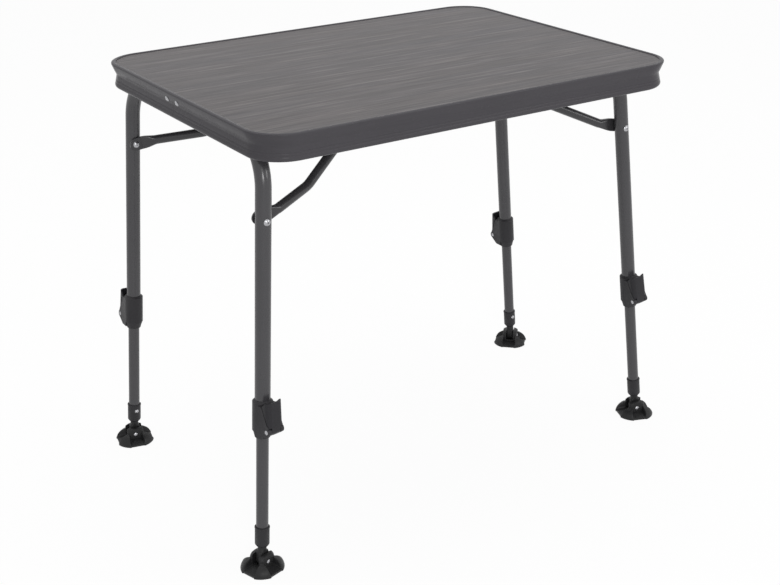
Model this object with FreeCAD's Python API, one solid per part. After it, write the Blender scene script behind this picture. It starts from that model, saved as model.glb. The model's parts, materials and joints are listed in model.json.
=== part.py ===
"""Folding camping table.

A laminated board sits in a bent aluminium rim. Two bent-tube leg frames fold under it, each held
open by a bent-tube brace whose crossbar hooks into a catch. The legs telescope, a cam lever on each
collar locks them, and the ribbed feet swivel and tilt.

Millimetres. Origin on the floor midway between the outermost feet, +X along the table's length,
+Y to its back, +Z up.
"""
import FreeCAD, Part
import math
import os
from FreeCAD import Matrix, Placement, Rotation, Vector

# Table top
TABLE_HEIGHT = 732.0
TOP_LENGTH = 800.0
TOP_WIDTH = 600.0
TOP_CORNER_RADIUS = 65.0
PANEL_THICKNESS = 9.0
PANEL_DROP = 1.5
PANEL_EDGE_GAP = 0.3

# Rim section: insets run inwards from the outline, drops run down from the crown
RIM_HEIGHT = 44.0
RIM_WALL = 1.8
LIP_WIDTH = 8.0
LIP_EDGE_DROP = 1.5
LIP_THICKNESS = 2.2
SLOPE_TOP_DROP = 3.2
SLOPE_DROP = 17.0
SLOPE_INSET = 5.4
WAIST_DROP = 23.0
WAIST_INSET = 7.3
BULGE_INSET = 3.6
BEAD_RADIUS = 5.0
BEAD_RETURN = 1.0
LEDGE_REACH = 18.0
LEDGE_THICKNESS = 1.5
GROOVE_DROPS = (30.0, 34.5)
GROOVE_WIDTH = 1.8
GROOVE_DEPTH = 0.8

# Splice of the rim in the left short side
SPLICE_Y = 14.0
SPLICE_SEAM = 0.3
SPLICE_LENGTH = 90.0
SPLICE_THICKNESS = 1.5
SPLICE_FOOT_DROP = 36.0
SPLICE_RIVET_SPACING = 36.0
SPLICE_RIVET_DROP = 15.0
SPLICE_RIVET_DIAMETER = 3.2
SPLICE_RIVET_HEAD = 8.6
SPLICE_RIVET_CROWN = 2.4

# Leg frames: bent tubes that turn about their own cross tube, hooked a gap away from the rim
UPPER_TUBE_DIAMETER = 25.0
UPPER_TUBE_WALL = 1.2
FRAME_BEND_RADIUS = 75.0
CROSS_TUBE_GAP = 0.5
LEFT_RIM_GAP = 9.15
LEFT_HALF_SPAN = 237.5
LEFT_SPLAY_OUT = 4.15
LEFT_SPLAY_SIDE = 1.66
RIGHT_RIM_GAP = 2.55
RIGHT_HALF_SPAN = 176.2
RIGHT_SPLAY_OUT = 5.8
RIGHT_SPLAY_SIDE = 1.9

# Hook saddles that carry the cross tubes
SADDLE_THICKNESS = 2.0
SADDLE_WIDTH = 30.0
SADDLE_CLEARANCE = 0.25
SADDLE_FLANGE = 22.0
SADDLE_LIP = 4.0
SADDLE_BEND_GAP = 14.0
SCREW_SPACING = 16.0
SCREW_DIAMETER = 3.5
SCREW_LENGTH = 8.5
SCREW_HEAD_DIAMETER = 7.5
SCREW_HEAD_HEIGHT = 2.2
FIXING_CLEARANCE = 0.05

# Braces: tubes with flattened ends on rivets through the legs
BRACE_DROP = 119.5
BRACE_DIAMETER = 16.0
PADDLE_WIDTH = 23.0
PADDLE_THICKNESS = 3.0
PADDLE_LENGTH = 11.0
PADDLE_GAP = 0.6
PADDLE_OFFSET = 7.0
FLATTEN_LENGTH = 26.0
BRACE_BEND_RADIUS = 45.0
CROSSBAR_HALF = 95.0
LEFT_BRACE_REACH = 297.0
LEFT_PADDLE_RISE = 7.0
LEFT_KNEE_REACH = 113.0
LEFT_KNEE_RISE = 15.0
LEFT_KNEE_INSET = 48.0
RIGHT_BRACE_REACH = 281.0
RIGHT_PADDLE_RISE = 12.0
RIVET_DIAMETER = 5.0
RIVET_HEAD_DIAMETER = 11.5
RIVET_HEAD_HEIGHT = 2.6
RIVET_CLEARANCE = 0.15

# Catches for the crossbars
CATCH_THICKNESS = 2.0
CATCH_WIDTH = 44.0
CATCH_CLEARANCE = 0.4
CATCH_FLANGE = 24.0
CATCH_LIP = 7.0
CATCH_MOUTH_ANGLE = 27.0
CATCH_SCREW_SPACING = 28.0

# Lower legs: heights run up the leg's own axis from the tilt pin
LOWER_TUBE_DIAMETER = 20.0
LOWER_TUBE_WALL = 1.2
SLIDE_CLEARANCE = 0.2
SLIDE_OVERLAP = 66.0
BUSH_HEIGHT = 8.0
BUSH_PLUG = 14.0

# Clamp collar, lever and lever pin
COLLAR_BASE = 220.0
COLLAR_LENGTH = 64.0
COLLAR_DIAMETER = 32.8
COLLAR_GRIP = 13.0
COLLAR_TOP_CHAMFER = 3.2
COLLAR_FOOT_TAPER = 12.0
COLLAR_FOOT_WALL = 2.2
COLLAR_SEAT_CLEARANCE = 0.1
TONGUE_HALF_WIDTH = 6.0
TONGUE_SLIT = 1.0
TONGUE_LENGTH = 32.0
CHEEK_OUTER = 16.0
CHEEK_INNER = 9.5
LEVER_GAP = 0.5
LEVER_PIN_DIAMETER = 4.0
LEVER_PIN_OUT = 26.0
LEVER_PIN_UP = 19.0
LEVER_PIN_HEAD = 7.0
LEVER_PIN_HEAD_HEIGHT = 0.9
LEVER_PIN_CLEARANCE = 0.1
EAR_RADIUS = 6.5
EAR_TOP_UP = 58.0
EAR_TOP_OUT = 14.0
CAM_RADIUS = 7.4
CAM_OFFSET = 1.6
LEVER_FACE_OUT = 32.0
LEVER_WALL = 2.6
LEVER_TOP_UP = 67.0
LEVER_TOP_LEAN = 3.0
LEVER_CORNER = 6.0
LEVER_EDGE = 8.0

# Foot socket, neck and foot
PIN_HEIGHT = 17.0
SOCKET_BASE = 25.0
SOCKET_LENGTH = 35.0
SOCKET_DIAMETER = 24.0
SOCKET_FLOOR = 10.0
SOCKET_FOOT_DIAMETER = 17.0
SOCKET_TAPER = 4.0
SOCKET_RIM_HEIGHT = 2.5
SOCKET_RIM = 0.5
SOCKET_RIVET_UP = 23.5
SOCKET_RIVET_DIAMETER = 4.0
SOCKET_RIVET_HEAD = 7.5
SOCKET_RIVET_CROWN = 1.8
NECK_DIAMETER = 14.5
NECK_SPIGOT_DIAMETER = 10.0
NECK_HEAD_DIAMETER = 13.0
NECK_HEAD_HEIGHT = 3.0
NECK_CLEARANCE = 0.3
NECK_FLAT_HEIGHT = 21.0
KNUCKLE_RADIUS = 9.0
KNUCKLE_THICKNESS = 13.5
KNUCKLE_HEIGHT = 17.0
KNUCKLE_CLEARANCE = 0.6
SLOT_DROP = 5.5
FOOT_DIAMETER = 72.0
FOOT_SKIRT = 3.0
FOOT_SHOULDER_RADIUS = 22.0
FOOT_SHOULDER_HEIGHT = 19.0
FOOT_BULGE = 2.0
FOOT_HUB_RADIUS = 19.5
FOOT_HUB_TOP_RADIUS = 12.5
FOOT_HEIGHT = 30.0
FOOT_LOBES = 4
BAY_INNER_WIDTH = 19.0
BAY_OUTER_WIDTH = 28.0
BAY_INNER_FLOOR = 9.0
BAY_OUTER_FLOOR = 2.5
BAY_NOTCH = 4.0
FOOT_TILT = 15.0
TILT_PIN_DIAMETER = 5.0
TILT_PIN_HALF_LENGTH = 15.0
TILT_PIN_HEAD = 8.0
TILT_PIN_HEAD_HEIGHT = 1.2
TILT_PIN_CLEARANCE = 0.1

# How far each foot is turned about its leg, as the table stands
FOOT_TURNS = {"left_front": 17.0, "left_back": -13.0, "right_front": -21.0, "right_back": 45.0}

# How far each clamp is turned about its leg, from facing straight away from the table
CLAMP_TURNS = {"left_front": 14.0, "left_back": 0.0, "right_front": 0.0, "right_back": 0.0}

# Worked out from the sizes above
PANEL_BOTTOM = TABLE_HEIGHT - PANEL_DROP - PANEL_THICKNESS
UPPER_RADIUS = UPPER_TUBE_DIAMETER / 2
UPPER_BORE = UPPER_RADIUS - UPPER_TUBE_WALL
LOWER_RADIUS = LOWER_TUBE_DIAMETER / 2
LOWER_BORE = LOWER_RADIUS - LOWER_TUBE_WALL
BRACE_RADIUS = BRACE_DIAMETER / 2
COLLAR_RADIUS = COLLAR_DIAMETER / 2
HOOK_RADIUS = UPPER_RADIUS + SADDLE_CLEARANCE + SADDLE_THICKNESS
HOOK_LIMIT = TOP_LENGTH / 2 - WAIST_INSET - RIM_WALL - HOOK_RADIUS
LEFT_FOLD_REACH = HOOK_LIMIT - LEFT_RIM_GAP
RIGHT_FOLD_REACH = HOOK_LIMIT - RIGHT_RIM_GAP
AXIS_HEIGHT = PANEL_BOTTOM - CROSS_TUBE_GAP - UPPER_RADIUS
CROSSBAR_HEIGHT = PANEL_BOTTOM - CATCH_THICKNESS - CATCH_CLEARANCE - BRACE_RADIUS
UPPER_TUBE_END = COLLAR_BASE + COLLAR_GRIP
LOWER_TUBE_SEAT = SOCKET_BASE + SOCKET_FLOOR
LOWER_TUBE_TOP = UPPER_TUBE_END + SLIDE_OVERLAP
LEDGE_TOP_DROP = PANEL_DROP + PANEL_THICKNESS
LEDGE_FOOT_DROP = LEDGE_TOP_DROP + LEDGE_THICKNESS
SIDES = {"left": -1, "right": 1}
ENDS = {"front": -1, "back": 1}
ALONG_X = Vector(1, 0, 0)
ALONG_Y = Vector(0, 1, 0)
ALONG_Z = Vector(0, 0, 1)


class LegFrame:
    """Where one folding leg frame stands: its fold axis and the lines of its two legs."""

    def __init__(self, side):
        left = side == "left"
        self.side = side
        self.sign = SIDES[side]
        self.reach = LEFT_FOLD_REACH if left else RIGHT_FOLD_REACH
        self.half_span = LEFT_HALF_SPAN if left else RIGHT_HALF_SPAN
        self.splay_out = math.radians(LEFT_SPLAY_OUT if left else RIGHT_SPLAY_OUT)
        self.splay_side = math.radians(LEFT_SPLAY_SIDE if left else RIGHT_SPLAY_SIDE)

    def foot_reach(self):
        """Distance of the feet from the middle of the top, along the table."""
        return self.reach + (AXIS_HEIGHT - PIN_HEIGHT) * math.tan(self.splay_out)

    def fold_x(self):
        return top_centre_x() + self.sign * self.reach

    def down(self, end):
        """Unit vector down one leg."""
        lean = math.sin(self.splay_side)
        drop = math.cos(self.splay_side)
        return Vector(self.sign * math.sin(self.splay_out) * drop,
                      ENDS[end] * lean,
                      -math.cos(self.splay_out) * drop)

    def top(self, end):
        """Where a leg's axis meets the cross tube's axis."""
        return Vector(self.fold_x(), ENDS[end] * self.half_span, AXIS_HEIGHT)

    def at_height(self, end, height):
        """The point of a leg's axis at a height above the floor."""
        down = self.down(end)
        return self.top(end) + down * ((AXIS_HEIGHT - height) / -down.z)

    def pin(self, end):
        """The middle of a foot's tilt pin."""
        return self.at_height(end, PIN_HEIGHT)

    def place(self, end):
        """Placement of a leg's own frame: Z up the leg from the tilt pin, Y away from the table."""
        up = self.down(end) * -1
        across = Vector(0, ENDS[end], 0).cross(up)
        across.normalize()
        out = up.cross(across)
        origin = self.pin(end)
        return Placement(Matrix(across.x, out.x, up.x, origin.x,
                                across.y, out.y, up.y, origin.y,
                                across.z, out.z, up.z, origin.z,
                                0, 0, 0, 1))

    def clamp_place(self, end):
        """Placement of a leg's clamp: the leg's own frame, turned about the leg."""
        turn = Rotation(ALONG_Z, CLAMP_TURNS[f"{self.side}_{end}"])
        return self.place(end).multiply(Placement(Vector(), turn))


def top_centre_x():
    """The top's middle, so that the outermost feet lie evenly about the origin."""
    return (LegFrame("left").foot_reach() - LegFrame("right").foot_reach()) / 2


# Shape helpers

def face_of(edges):
    return Part.Face(Part.Wire(edges))


def line(start, end):
    return Part.LineSegment(start, end).toShape()


def arc(start, middle, end):
    return Part.Arc(start, middle, end).toShape()


def polygon(points):
    """Flat face with straight edges through the points."""
    return face_of([line(a, b) for a, b in zip(points, points[1:] + points[:1])])


def turned(outline):
    """Solid turned about Z from (radius, height) points."""
    face = polygon([Vector(radius, 0, height) for radius, height in outline])
    return face.revolve(Vector(), ALONG_Z, 360)


def rod(radius, start, end):
    """Round bar between two points."""
    run = end - start
    return Part.makeCylinder(radius, run.Length, start, run)


def block(low, high):
    size = high - low
    return Part.makeBox(size.x, size.y, size.z, low)


def dome_head(radius, crown, base, axis):
    """Round rivet head: a spherical cap on a flat base, rising along the axis."""
    rise = Vector(0, 0, crown)
    edge = Vector(radius, 0, 0)
    ball = (radius ** 2 + crown ** 2) / (2 * crown)
    half = math.asin(radius / ball) / 2
    shoulder = Vector(ball * math.sin(half), 0, crown - ball * (1 - math.cos(half)))
    cap = face_of([line(Vector(), edge), arc(edge, shoulder, rise), line(rise, Vector())])
    head = cap.revolve(Vector(), ALONG_Z, 360)
    head.Placement = Placement(base, Rotation(ALONG_Z, axis))
    return head


def rounded_path(points, radii):
    """Straight runs through the points, with a tangent arc of its own radius at each inner one."""
    edges = []
    start = points[0]
    for before, corner, after, radius in zip(points, points[1:], points[2:], radii):
        inwards = (corner - before).normalize()
        onwards = (after - corner).normalize()
        turn = inwards.getAngle(onwards)
        trim = radius * math.tan(turn / 2)
        bisector = (onwards - inwards).normalize()
        middle = corner + bisector * (radius / math.cos(turn / 2) - radius)
        edges.append(line(start, corner - inwards * trim))
        edges.append(arc(corner - inwards * trim, middle, corner + onwards * trim))
        start = corner + onwards * trim
    edges.append(line(start, points[-1]))
    return Part.Wire(edges)


def swept_rod(points, radii, radius):
    """Round bar bent along a rounded path."""
    ring = Part.makeCircle(radius, points[0], points[1] - points[0])
    return rounded_path(points, radii).makePipeShell([Part.Wire(ring)], True, True)


def joined(shapes):
    """One solid from shapes that meet."""
    return shapes[0].fuse(shapes[1:]).removeSplitter()


def group(shapes):
    """Separate like solids in one node."""
    return Part.makeCompound(shapes)


def placed(shape, placement):
    moved = shape.copy()
    moved.Placement = placement.multiply(moved.Placement)
    return moved


# Table top

def slope_inset(drop):
    """Inset of the rim's outer face on its straight upper slope."""
    return SLOPE_INSET * (drop - SLOPE_TOP_DROP) / (SLOPE_DROP - SLOPE_TOP_DROP)


def slope_normal():
    """Outward normal of that slope, as (inset, drop) steps."""
    run = SLOPE_DROP - SLOPE_TOP_DROP
    size = math.hypot(run, SLOPE_INSET)
    return -run / size, SLOPE_INSET / size


def inner_inset(drop):
    """Inset of the rim's inner face on the upper slope."""
    return slope_inset(drop) - RIM_WALL / slope_normal()[0]


def lower_inset(drop):
    """Inset of the rim's outer face between the waist and the bulge."""
    bulge_drop = RIM_HEIGHT - BEAD_RADIUS
    return WAIST_INSET + (BULGE_INSET - WAIST_INSET) * (drop - WAIST_DROP) / (bulge_drop - WAIST_DROP)


def rim_section():
    """Section of the rim extrusion, standing in the XZ plane beside a corner's centre."""

    def at(inset, drop):
        return Vector(TOP_CORNER_RADIUS - inset, 0, TABLE_HEIGHT - drop)

    bulge_drop = RIM_HEIGHT - BEAD_RADIUS
    bead_inset = BULGE_INSET + BEAD_RADIUS
    diagonal = math.sqrt(0.5)
    bend = (SLOPE_INSET + 3 * WAIST_INSET) / 4
    lip_foot = at(LIP_WIDTH, LIP_THICKNESS)
    lip_top = at(LIP_WIDTH, LIP_EDGE_DROP / 2)
    lip_edge = at(0, LIP_EDGE_DROP)
    slope_top = at(0, SLOPE_TOP_DROP)
    slope_foot = at(SLOPE_INSET, SLOPE_DROP)
    waist = at(WAIST_INSET, WAIST_DROP)
    edges = [
        line(lip_foot, lip_top),
        arc(lip_top, at(LIP_WIDTH / 2, 0), lip_edge),
        line(lip_edge, slope_top),
        line(slope_top, slope_foot),
        arc(slope_foot, at(bend, (SLOPE_DROP + WAIST_DROP) / 2), waist),
    ]
    here = waist
    for drop in GROOVE_DROPS:
        for step, depth in ((-GROOVE_WIDTH / 2, 0), (0, GROOVE_DEPTH), (GROOVE_WIDTH / 2, 0)):
            there = at(lower_inset(drop + step) + depth, drop + step)
            edges.append(line(here, there))
            here = there
    bulge = at(BULGE_INSET, bulge_drop)
    bead_foot = at(bead_inset, RIM_HEIGHT)
    inner_bead = BEAD_RADIUS - RIM_WALL
    edges += [
        line(here, bulge),
        arc(bulge,
            at(bead_inset - BEAD_RADIUS * diagonal, bulge_drop + BEAD_RADIUS * diagonal),
            bead_foot),
    ]
    inner = [
        bead_foot,
        at(bead_inset + BEAD_RETURN, RIM_HEIGHT),
        at(bead_inset + BEAD_RETURN, RIM_HEIGHT - RIM_WALL),
        at(bead_inset, RIM_HEIGHT - RIM_WALL),
    ]
    edges += [line(a, b) for a, b in zip(inner, inner[1:])]
    inner_bulge = at(BULGE_INSET + RIM_WALL, bulge_drop)
    edges.append(arc(inner[-1],
                     at(bead_inset - inner_bead * diagonal, bulge_drop + inner_bead * diagonal),
                     inner_bulge))
    inner = [
        inner_bulge,
        at(WAIST_INSET + RIM_WALL, WAIST_DROP),
        at(inner_inset(SLOPE_DROP), SLOPE_DROP),
        at(inner_inset(LEDGE_FOOT_DROP), LEDGE_FOOT_DROP),
        at(LEDGE_REACH, LEDGE_FOOT_DROP),
        at(LEDGE_REACH, LEDGE_TOP_DROP),
        at(inner_inset(LEDGE_TOP_DROP), LEDGE_TOP_DROP),
        at(inner_inset(SLOPE_TOP_DROP), SLOPE_TOP_DROP),
        at(inner_inset(SLOPE_TOP_DROP), LIP_THICKNESS),
        lip_foot,
    ]
    edges += [line(a, b) for a, b in zip(inner, inner[1:])]
    return face_of(edges)


def splice_rivet_seats():
    """Where the two splice rivets enter the rim, and the direction their heads face."""
    inset, drop = slope_normal()
    facing = Vector(inset, 0, -drop)
    seats = []
    for step in (-0.5, 0.5):
        seats.append(Vector(top_centre_x() - TOP_LENGTH / 2 + slope_inset(SPLICE_RIVET_DROP),
                            SPLICE_Y + step * SPLICE_RIVET_SPACING,
                            TABLE_HEIGHT - SPLICE_RIVET_DROP))
    return seats, facing


def splice_rivet_holes():
    seats, facing = splice_rivet_seats()
    radius = SPLICE_RIVET_DIAMETER / 2 + FIXING_CLEARANCE
    depth = RIM_WALL + SPLICE_THICKNESS + SPLICE_RIVET_HEAD
    return [rod(radius, seat + facing, seat - facing * depth) for seat in seats]


def edge_frame():
    """The rim: one extrusion bent round four corners, its ends meeting in the left side."""
    section = rim_section()
    half_x = TOP_LENGTH / 2 - TOP_CORNER_RADIUS
    half_y = TOP_WIDTH / 2 - TOP_CORNER_RADIUS
    corners = [(1, 1), (-1, 1), (-1, -1), (1, -1)]
    pieces = []
    for index, (along, across) in enumerate(corners):
        centre = Vector(top_centre_x() + along * half_x, across * half_y, 0)
        bend = section.revolve(Vector(), ALONG_Z, 90)
        run = 2 * (half_x if index % 2 == 0 else half_y)
        side = section.extrude(Vector(0, run, 0))
        start = Placement(centre, Rotation(ALONG_Z, 90 * index))
        finish = Placement(centre, Rotation(ALONG_Z, 90 * (index + 1)))
        pieces += [placed(bend, start), placed(side, finish)]
    left = top_centre_x() - TOP_LENGTH / 2
    seam = block(Vector(left - 1, SPLICE_Y - SPLICE_SEAM / 2, TABLE_HEIGHT - RIM_HEIGHT - 1),
                 Vector(left + LEDGE_REACH + 1, SPLICE_Y + SPLICE_SEAM / 2, TABLE_HEIGHT + 1))
    return joined(pieces).cut([seam] + splice_rivet_holes())


def splice_plate():
    """Bent strip behind the seam, following the rim's inner face from the ledge to below the waist."""
    left = top_centre_x() - TOP_LENGTH / 2
    top = LEDGE_FOOT_DROP + PANEL_EDGE_GAP
    bends = [(inner_inset(top), top), (inner_inset(SLOPE_DROP), SLOPE_DROP),
             (WAIST_INSET + RIM_WALL, WAIST_DROP),
             (lower_inset(SPLICE_FOOT_DROP) + RIM_WALL, SPLICE_FOOT_DROP)]
    thick = [(inset + SPLICE_THICKNESS, drop) for inset, drop in reversed(bends)]
    low = SPLICE_Y - SPLICE_LENGTH / 2
    face = polygon([Vector(left + inset, low, TABLE_HEIGHT - drop) for inset, drop in bends + thick])
    return face.extrude(Vector(0, SPLICE_LENGTH, 0)).cut(splice_rivet_holes())


def splice_rivets():
    seats, facing = splice_rivet_seats()
    depth = RIM_WALL + SPLICE_THICKNESS
    rivets = []
    for seat in seats:
        shank = rod(SPLICE_RIVET_DIAMETER / 2, seat - facing * depth, seat)
        head = dome_head(SPLICE_RIVET_HEAD / 2, SPLICE_RIVET_CROWN, seat, facing)
        rivets.append(joined([shank, head]))
    return group(rivets)


def rounded_slab(inset, low, high):
    """The top's outline, drawn in by an inset, between two heights."""
    radius = TOP_CORNER_RADIUS - inset
    size_x = TOP_LENGTH - 2 * inset
    size_y = TOP_WIDTH - 2 * inset
    slab = Part.makeBox(size_x, size_y, high - low,
                        Vector(top_centre_x() - size_x / 2, -size_y / 2, low))
    upright = [edge for edge in slab.Edges
               if edge.tangentAt(edge.FirstParameter).isParallel(ALONG_Z, 0.01)]
    return slab.makeFillet(radius, upright)


def table_top_panel():
    """Laminated board: its face stands inside the lip, and its thinner edge lies in the rim's channel."""
    rebate = TABLE_HEIGHT - LIP_THICKNESS - PANEL_EDGE_GAP / 3
    board = rounded_slab(inner_inset(LEDGE_TOP_DROP) + PANEL_EDGE_GAP, PANEL_BOTTOM, rebate)
    facing = rounded_slab(LIP_WIDTH + PANEL_EDGE_GAP, rebate, TABLE_HEIGHT - PANEL_DROP)
    radius = SCREW_DIAMETER / 2 + FIXING_CLEARANCE
    pilots = []
    for seat in saddle_screw_seats() + catch_screw_seats():
        depth = SCREW_LENGTH - (PANEL_BOTTOM - seat.z) + FIXING_CLEARANCE
        foot = Vector(seat.x, seat.y, PANEL_BOTTOM)
        pilots.append(rod(radius, foot, foot + Vector(0, 0, depth)))
    return joined([board, facing]).cut(pilots)


# Leg frames and their saddles

def leg_frame(frame):
    """Bent tube: two upper legs and the cross tube between them, with the brace rivets' holes."""
    ends = {end: frame.place(end).multVec(Vector(0, 0, UPPER_TUBE_END + COLLAR_SEAT_CLEARANCE))
            for end in ENDS}
    points = [ends["front"], frame.top("front"), frame.top("back"), ends["back"]]
    radii = [FRAME_BEND_RADIUS, FRAME_BEND_RADIUS]
    tube = swept_rod(points, radii, UPPER_RADIUS).cut(swept_rod(points, radii, UPPER_BORE))
    radius = RIVET_DIAMETER / 2 + FIXING_CLEARANCE
    holes = []
    for end in ENDS:
        axis = frame.at_height(end, AXIS_HEIGHT - BRACE_DROP)
        reach = Vector(0, UPPER_TUBE_DIAMETER, 0)
        holes.append(rod(radius, axis - reach, axis + reach))
    return tube.cut(holes)


def saddle_y(frame):
    """A saddle's middle along the cross tube, just inside the bend."""
    return frame.half_span - FRAME_BEND_RADIUS - SADDLE_BEND_GAP - SADDLE_WIDTH / 2


def hook_saddle(frame, end):
    """Strip under the cross tube: a flange on the board, and a hook that ends past the tube's far side."""
    inner = UPPER_RADIUS + SADDLE_CLEARANCE
    outer = HOOK_RADIUS
    low = saddle_y(frame) * ENDS[end] - SADDLE_WIDTH / 2
    inwards = -frame.sign

    def at(step, rise):
        return Vector(frame.fold_x() + inwards * step, low, AXIS_HEIGHT + rise)

    board = PANEL_BOTTOM - AXIS_HEIGHT
    under = board - SADDLE_THICKNESS
    flange_end = outer + SADDLE_FLANGE
    edges = [
        line(at(-outer, SADDLE_LIP), at(-outer, 0)),
        arc(at(-outer, 0), at(0, -outer), at(outer, 0)),
        line(at(outer, 0), at(outer, under)),
        line(at(outer, under), at(flange_end, under)),
        line(at(flange_end, under), at(flange_end, board)),
        line(at(flange_end, board), at(inner, board)),
        line(at(inner, board), at(inner, 0)),
        arc(at(inner, 0), at(0, -inner), at(-inner, 0)),
        line(at(-inner, 0), at(-inner, SADDLE_LIP)),
        line(at(-inner, SADDLE_LIP), at(-outer, SADDLE_LIP)),
    ]
    strip = face_of(edges).extrude(Vector(0, SADDLE_WIDTH, 0))
    radius = SCREW_DIAMETER / 2 + FIXING_CLEARANCE
    rise = Vector(0, 0, 2 * SADDLE_THICKNESS)
    holes = [rod(radius, seat - rise, seat + rise) for seat in saddle_seats(frame, end)]
    return strip.cut(holes)


def saddle_seats(frame, end):
    """Where the two screws of one saddle bear on its flange."""
    step = HOOK_RADIUS + SADDLE_FLANGE / 2
    x = frame.fold_x() - frame.sign * step
    y = saddle_y(frame) * ENDS[end]
    return [Vector(x, y + half * SCREW_SPACING, PANEL_BOTTOM - SADDLE_THICKNESS) for half in (-0.5, 0.5)]


def saddle_screw_seats():
    return [seat for side in SIDES for end in ENDS for seat in saddle_seats(LegFrame(side), end)]


def pan_screw(seat):
    """Pan-head screw driven up into the board from its seat."""
    shank = rod(SCREW_DIAMETER / 2, seat, seat + Vector(0, 0, SCREW_LENGTH))
    head = dome_head(SCREW_HEAD_DIAMETER / 2, SCREW_HEAD_HEIGHT, seat, ALONG_Z * -1)
    return joined([shank, head])


def screws(seats):
    return group([pan_screw(seat) for seat in seats])


# Braces and their catches

class Brace:
    """The line of one brace: rivets on the legs, an optional knee, and the crossbar's ends."""

    def __init__(self, side):
        left = side == "left"
        self.frame = LegFrame(side)
        self.inwards = -self.frame.sign
        self.reach = LEFT_BRACE_REACH if left else RIGHT_BRACE_REACH
        self.paddle_rise = math.radians(LEFT_PADDLE_RISE if left else RIGHT_PADDLE_RISE)
        self.knee = (LEFT_KNEE_REACH, LEFT_KNEE_RISE, LEFT_KNEE_INSET) if left else None

    def rivet(self, end):
        """The rivet's crossing with the leg's axis."""
        return self.frame.at_height(end, AXIS_HEIGHT - BRACE_DROP)

    def paddle_y(self):
        """Middle plane of the flattened end, on the leg's inner side."""
        return self.rivet("back").y - UPPER_RADIUS - PADDLE_GAP - PADDLE_THICKNESS / 2

    def paddle(self, end):
        rivet = self.rivet(end)
        return Vector(rivet.x, ENDS[end] * self.paddle_y(), rivet.z)

    def along(self):
        """Direction in which the flattened end points."""
        return Vector(self.inwards * math.cos(self.paddle_rise), 0, math.sin(self.paddle_rise))

    def crossbar_x(self):
        return self.rivet("back").x + self.inwards * self.reach

    def arm(self, end):
        """Axis of one arm, from the end of its flattening to the crossbar's corner."""
        start = self.paddle(end) + self.along() * (PADDLE_LENGTH + FLATTEN_LENGTH)
        points = [start - Vector(0, ENDS[end] * PADDLE_OFFSET, 0)]
        if self.knee:
            reach, rise, inset = self.knee
            paddle = self.paddle(end)
            points.append(paddle + Vector(self.inwards * reach, -ENDS[end] * inset, rise))
        points.append(Vector(self.crossbar_x(), ENDS[end] * CROSSBAR_HALF, CROSSBAR_HEIGHT))
        return points


def flat_ring(centre, across, thick, half_width, half_thickness):
    """Outline of a flattened tube: two straight faces joined by round edges."""
    straight = half_width - half_thickness
    corners = [centre + across * (u * straight) + thick * (v * half_thickness)
               for u, v in ((1, 1), (-1, 1), (-1, -1), (1, -1))]
    far = [centre - across * half_width, centre + across * half_width]
    return Part.Wire([
        line(corners[0], corners[1]),
        arc(corners[1], far[0], corners[2]),
        line(corners[2], corners[3]),
        arc(corners[3], far[1], corners[0]),
    ])


def round_ring(centre, across, thick, radius):
    """Circle in four arcs that match the flattened outline's four edges."""
    diagonal = radius * math.sqrt(0.5)
    corners = [centre + across * (u * diagonal) + thick * (v * diagonal)
               for u, v in ((1, 1), (-1, 1), (-1, -1), (1, -1))]
    middles = [centre + thick * radius, centre - across * radius,
               centre - thick * radius, centre + across * radius]
    return Part.Wire([arc(a, m, b) for a, m, b in zip(corners, middles, corners[1:] + corners[:1])])


def brace_end(brace, end):
    """Flattened end: a rounded paddle on the leg's inner side that swells into the round tube."""
    middle = brace.paddle(end)
    along = brace.along()
    across = along.cross(ALONG_Y)
    half = PADDLE_THICKNESS / 2
    low = middle - Vector(0, half, 0)
    disc = Part.makeCylinder(PADDLE_WIDTH / 2, PADDLE_THICKNESS, low, ALONG_Y)
    corners = [low + across * (s * PADDLE_WIDTH / 2) + along * t
               for s, t in ((1, 0), (-1, 0), (-1, PADDLE_LENGTH), (1, PADDLE_LENGTH))]
    plate = polygon(corners).extrude(Vector(0, PADDLE_THICKNESS, 0))
    arm = brace.arm(end)
    onwards = (arm[1] - arm[0]).normalize()
    side = onwards.cross(ALONG_Y).normalize()
    flat = flat_ring(middle + along * PADDLE_LENGTH, across, ALONG_Y, PADDLE_WIDTH / 2, half)
    full = round_ring(arm[0], side, side.cross(onwards), BRACE_RADIUS)
    swell = Part.makeLoft([flat, full], True, True)
    return [disc, plate, swell]


def brace_tube(brace):
    """Bent tube from one leg to the other, by way of the crossbar under the board."""
    front = brace.arm("front")
    points = front + brace.arm("back")[::-1]
    radii = [BRACE_BEND_RADIUS] * (len(points) - 2)
    pieces = [swept_rod(points, radii, BRACE_RADIUS)]
    for end in ENDS:
        pieces += brace_end(brace, end)
    radius = RIVET_DIAMETER / 2 + RIVET_CLEARANCE
    reach = Vector(0, 2 * PADDLE_THICKNESS, 0)
    holes = [rod(radius, brace.paddle(end) - reach, brace.paddle(end) + reach) for end in ENDS]
    return joined(pieces).cut(holes)


def brace_rivets(brace):
    """Rivets along Y through both legs and the paddles, with a domed head at each end."""
    rivets = []
    for end in ENDS:
        out = Vector(0, ENDS[end], 0)
        lean = brace.frame.splay_side
        face = UPPER_RADIUS / math.cos(lean) + RIVET_HEAD_DIAMETER / 2 * math.tan(lean)
        outer = brace.rivet(end) + out * (face + FIXING_CLEARANCE)
        depth = PADDLE_THICKNESS / 2 + RIVET_CLEARANCE
        inner = brace.paddle(end) - out * depth
        shank = rod(RIVET_DIAMETER / 2, inner, outer)
        heads = [dome_head(RIVET_HEAD_DIAMETER / 2, RIVET_HEAD_HEIGHT, outer, out),
                 dome_head(RIVET_HEAD_DIAMETER / 2, RIVET_HEAD_HEIGHT, inner, out * -1)]
        rivets.append(joined([shank] + heads))
    return group(rivets)


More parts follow.
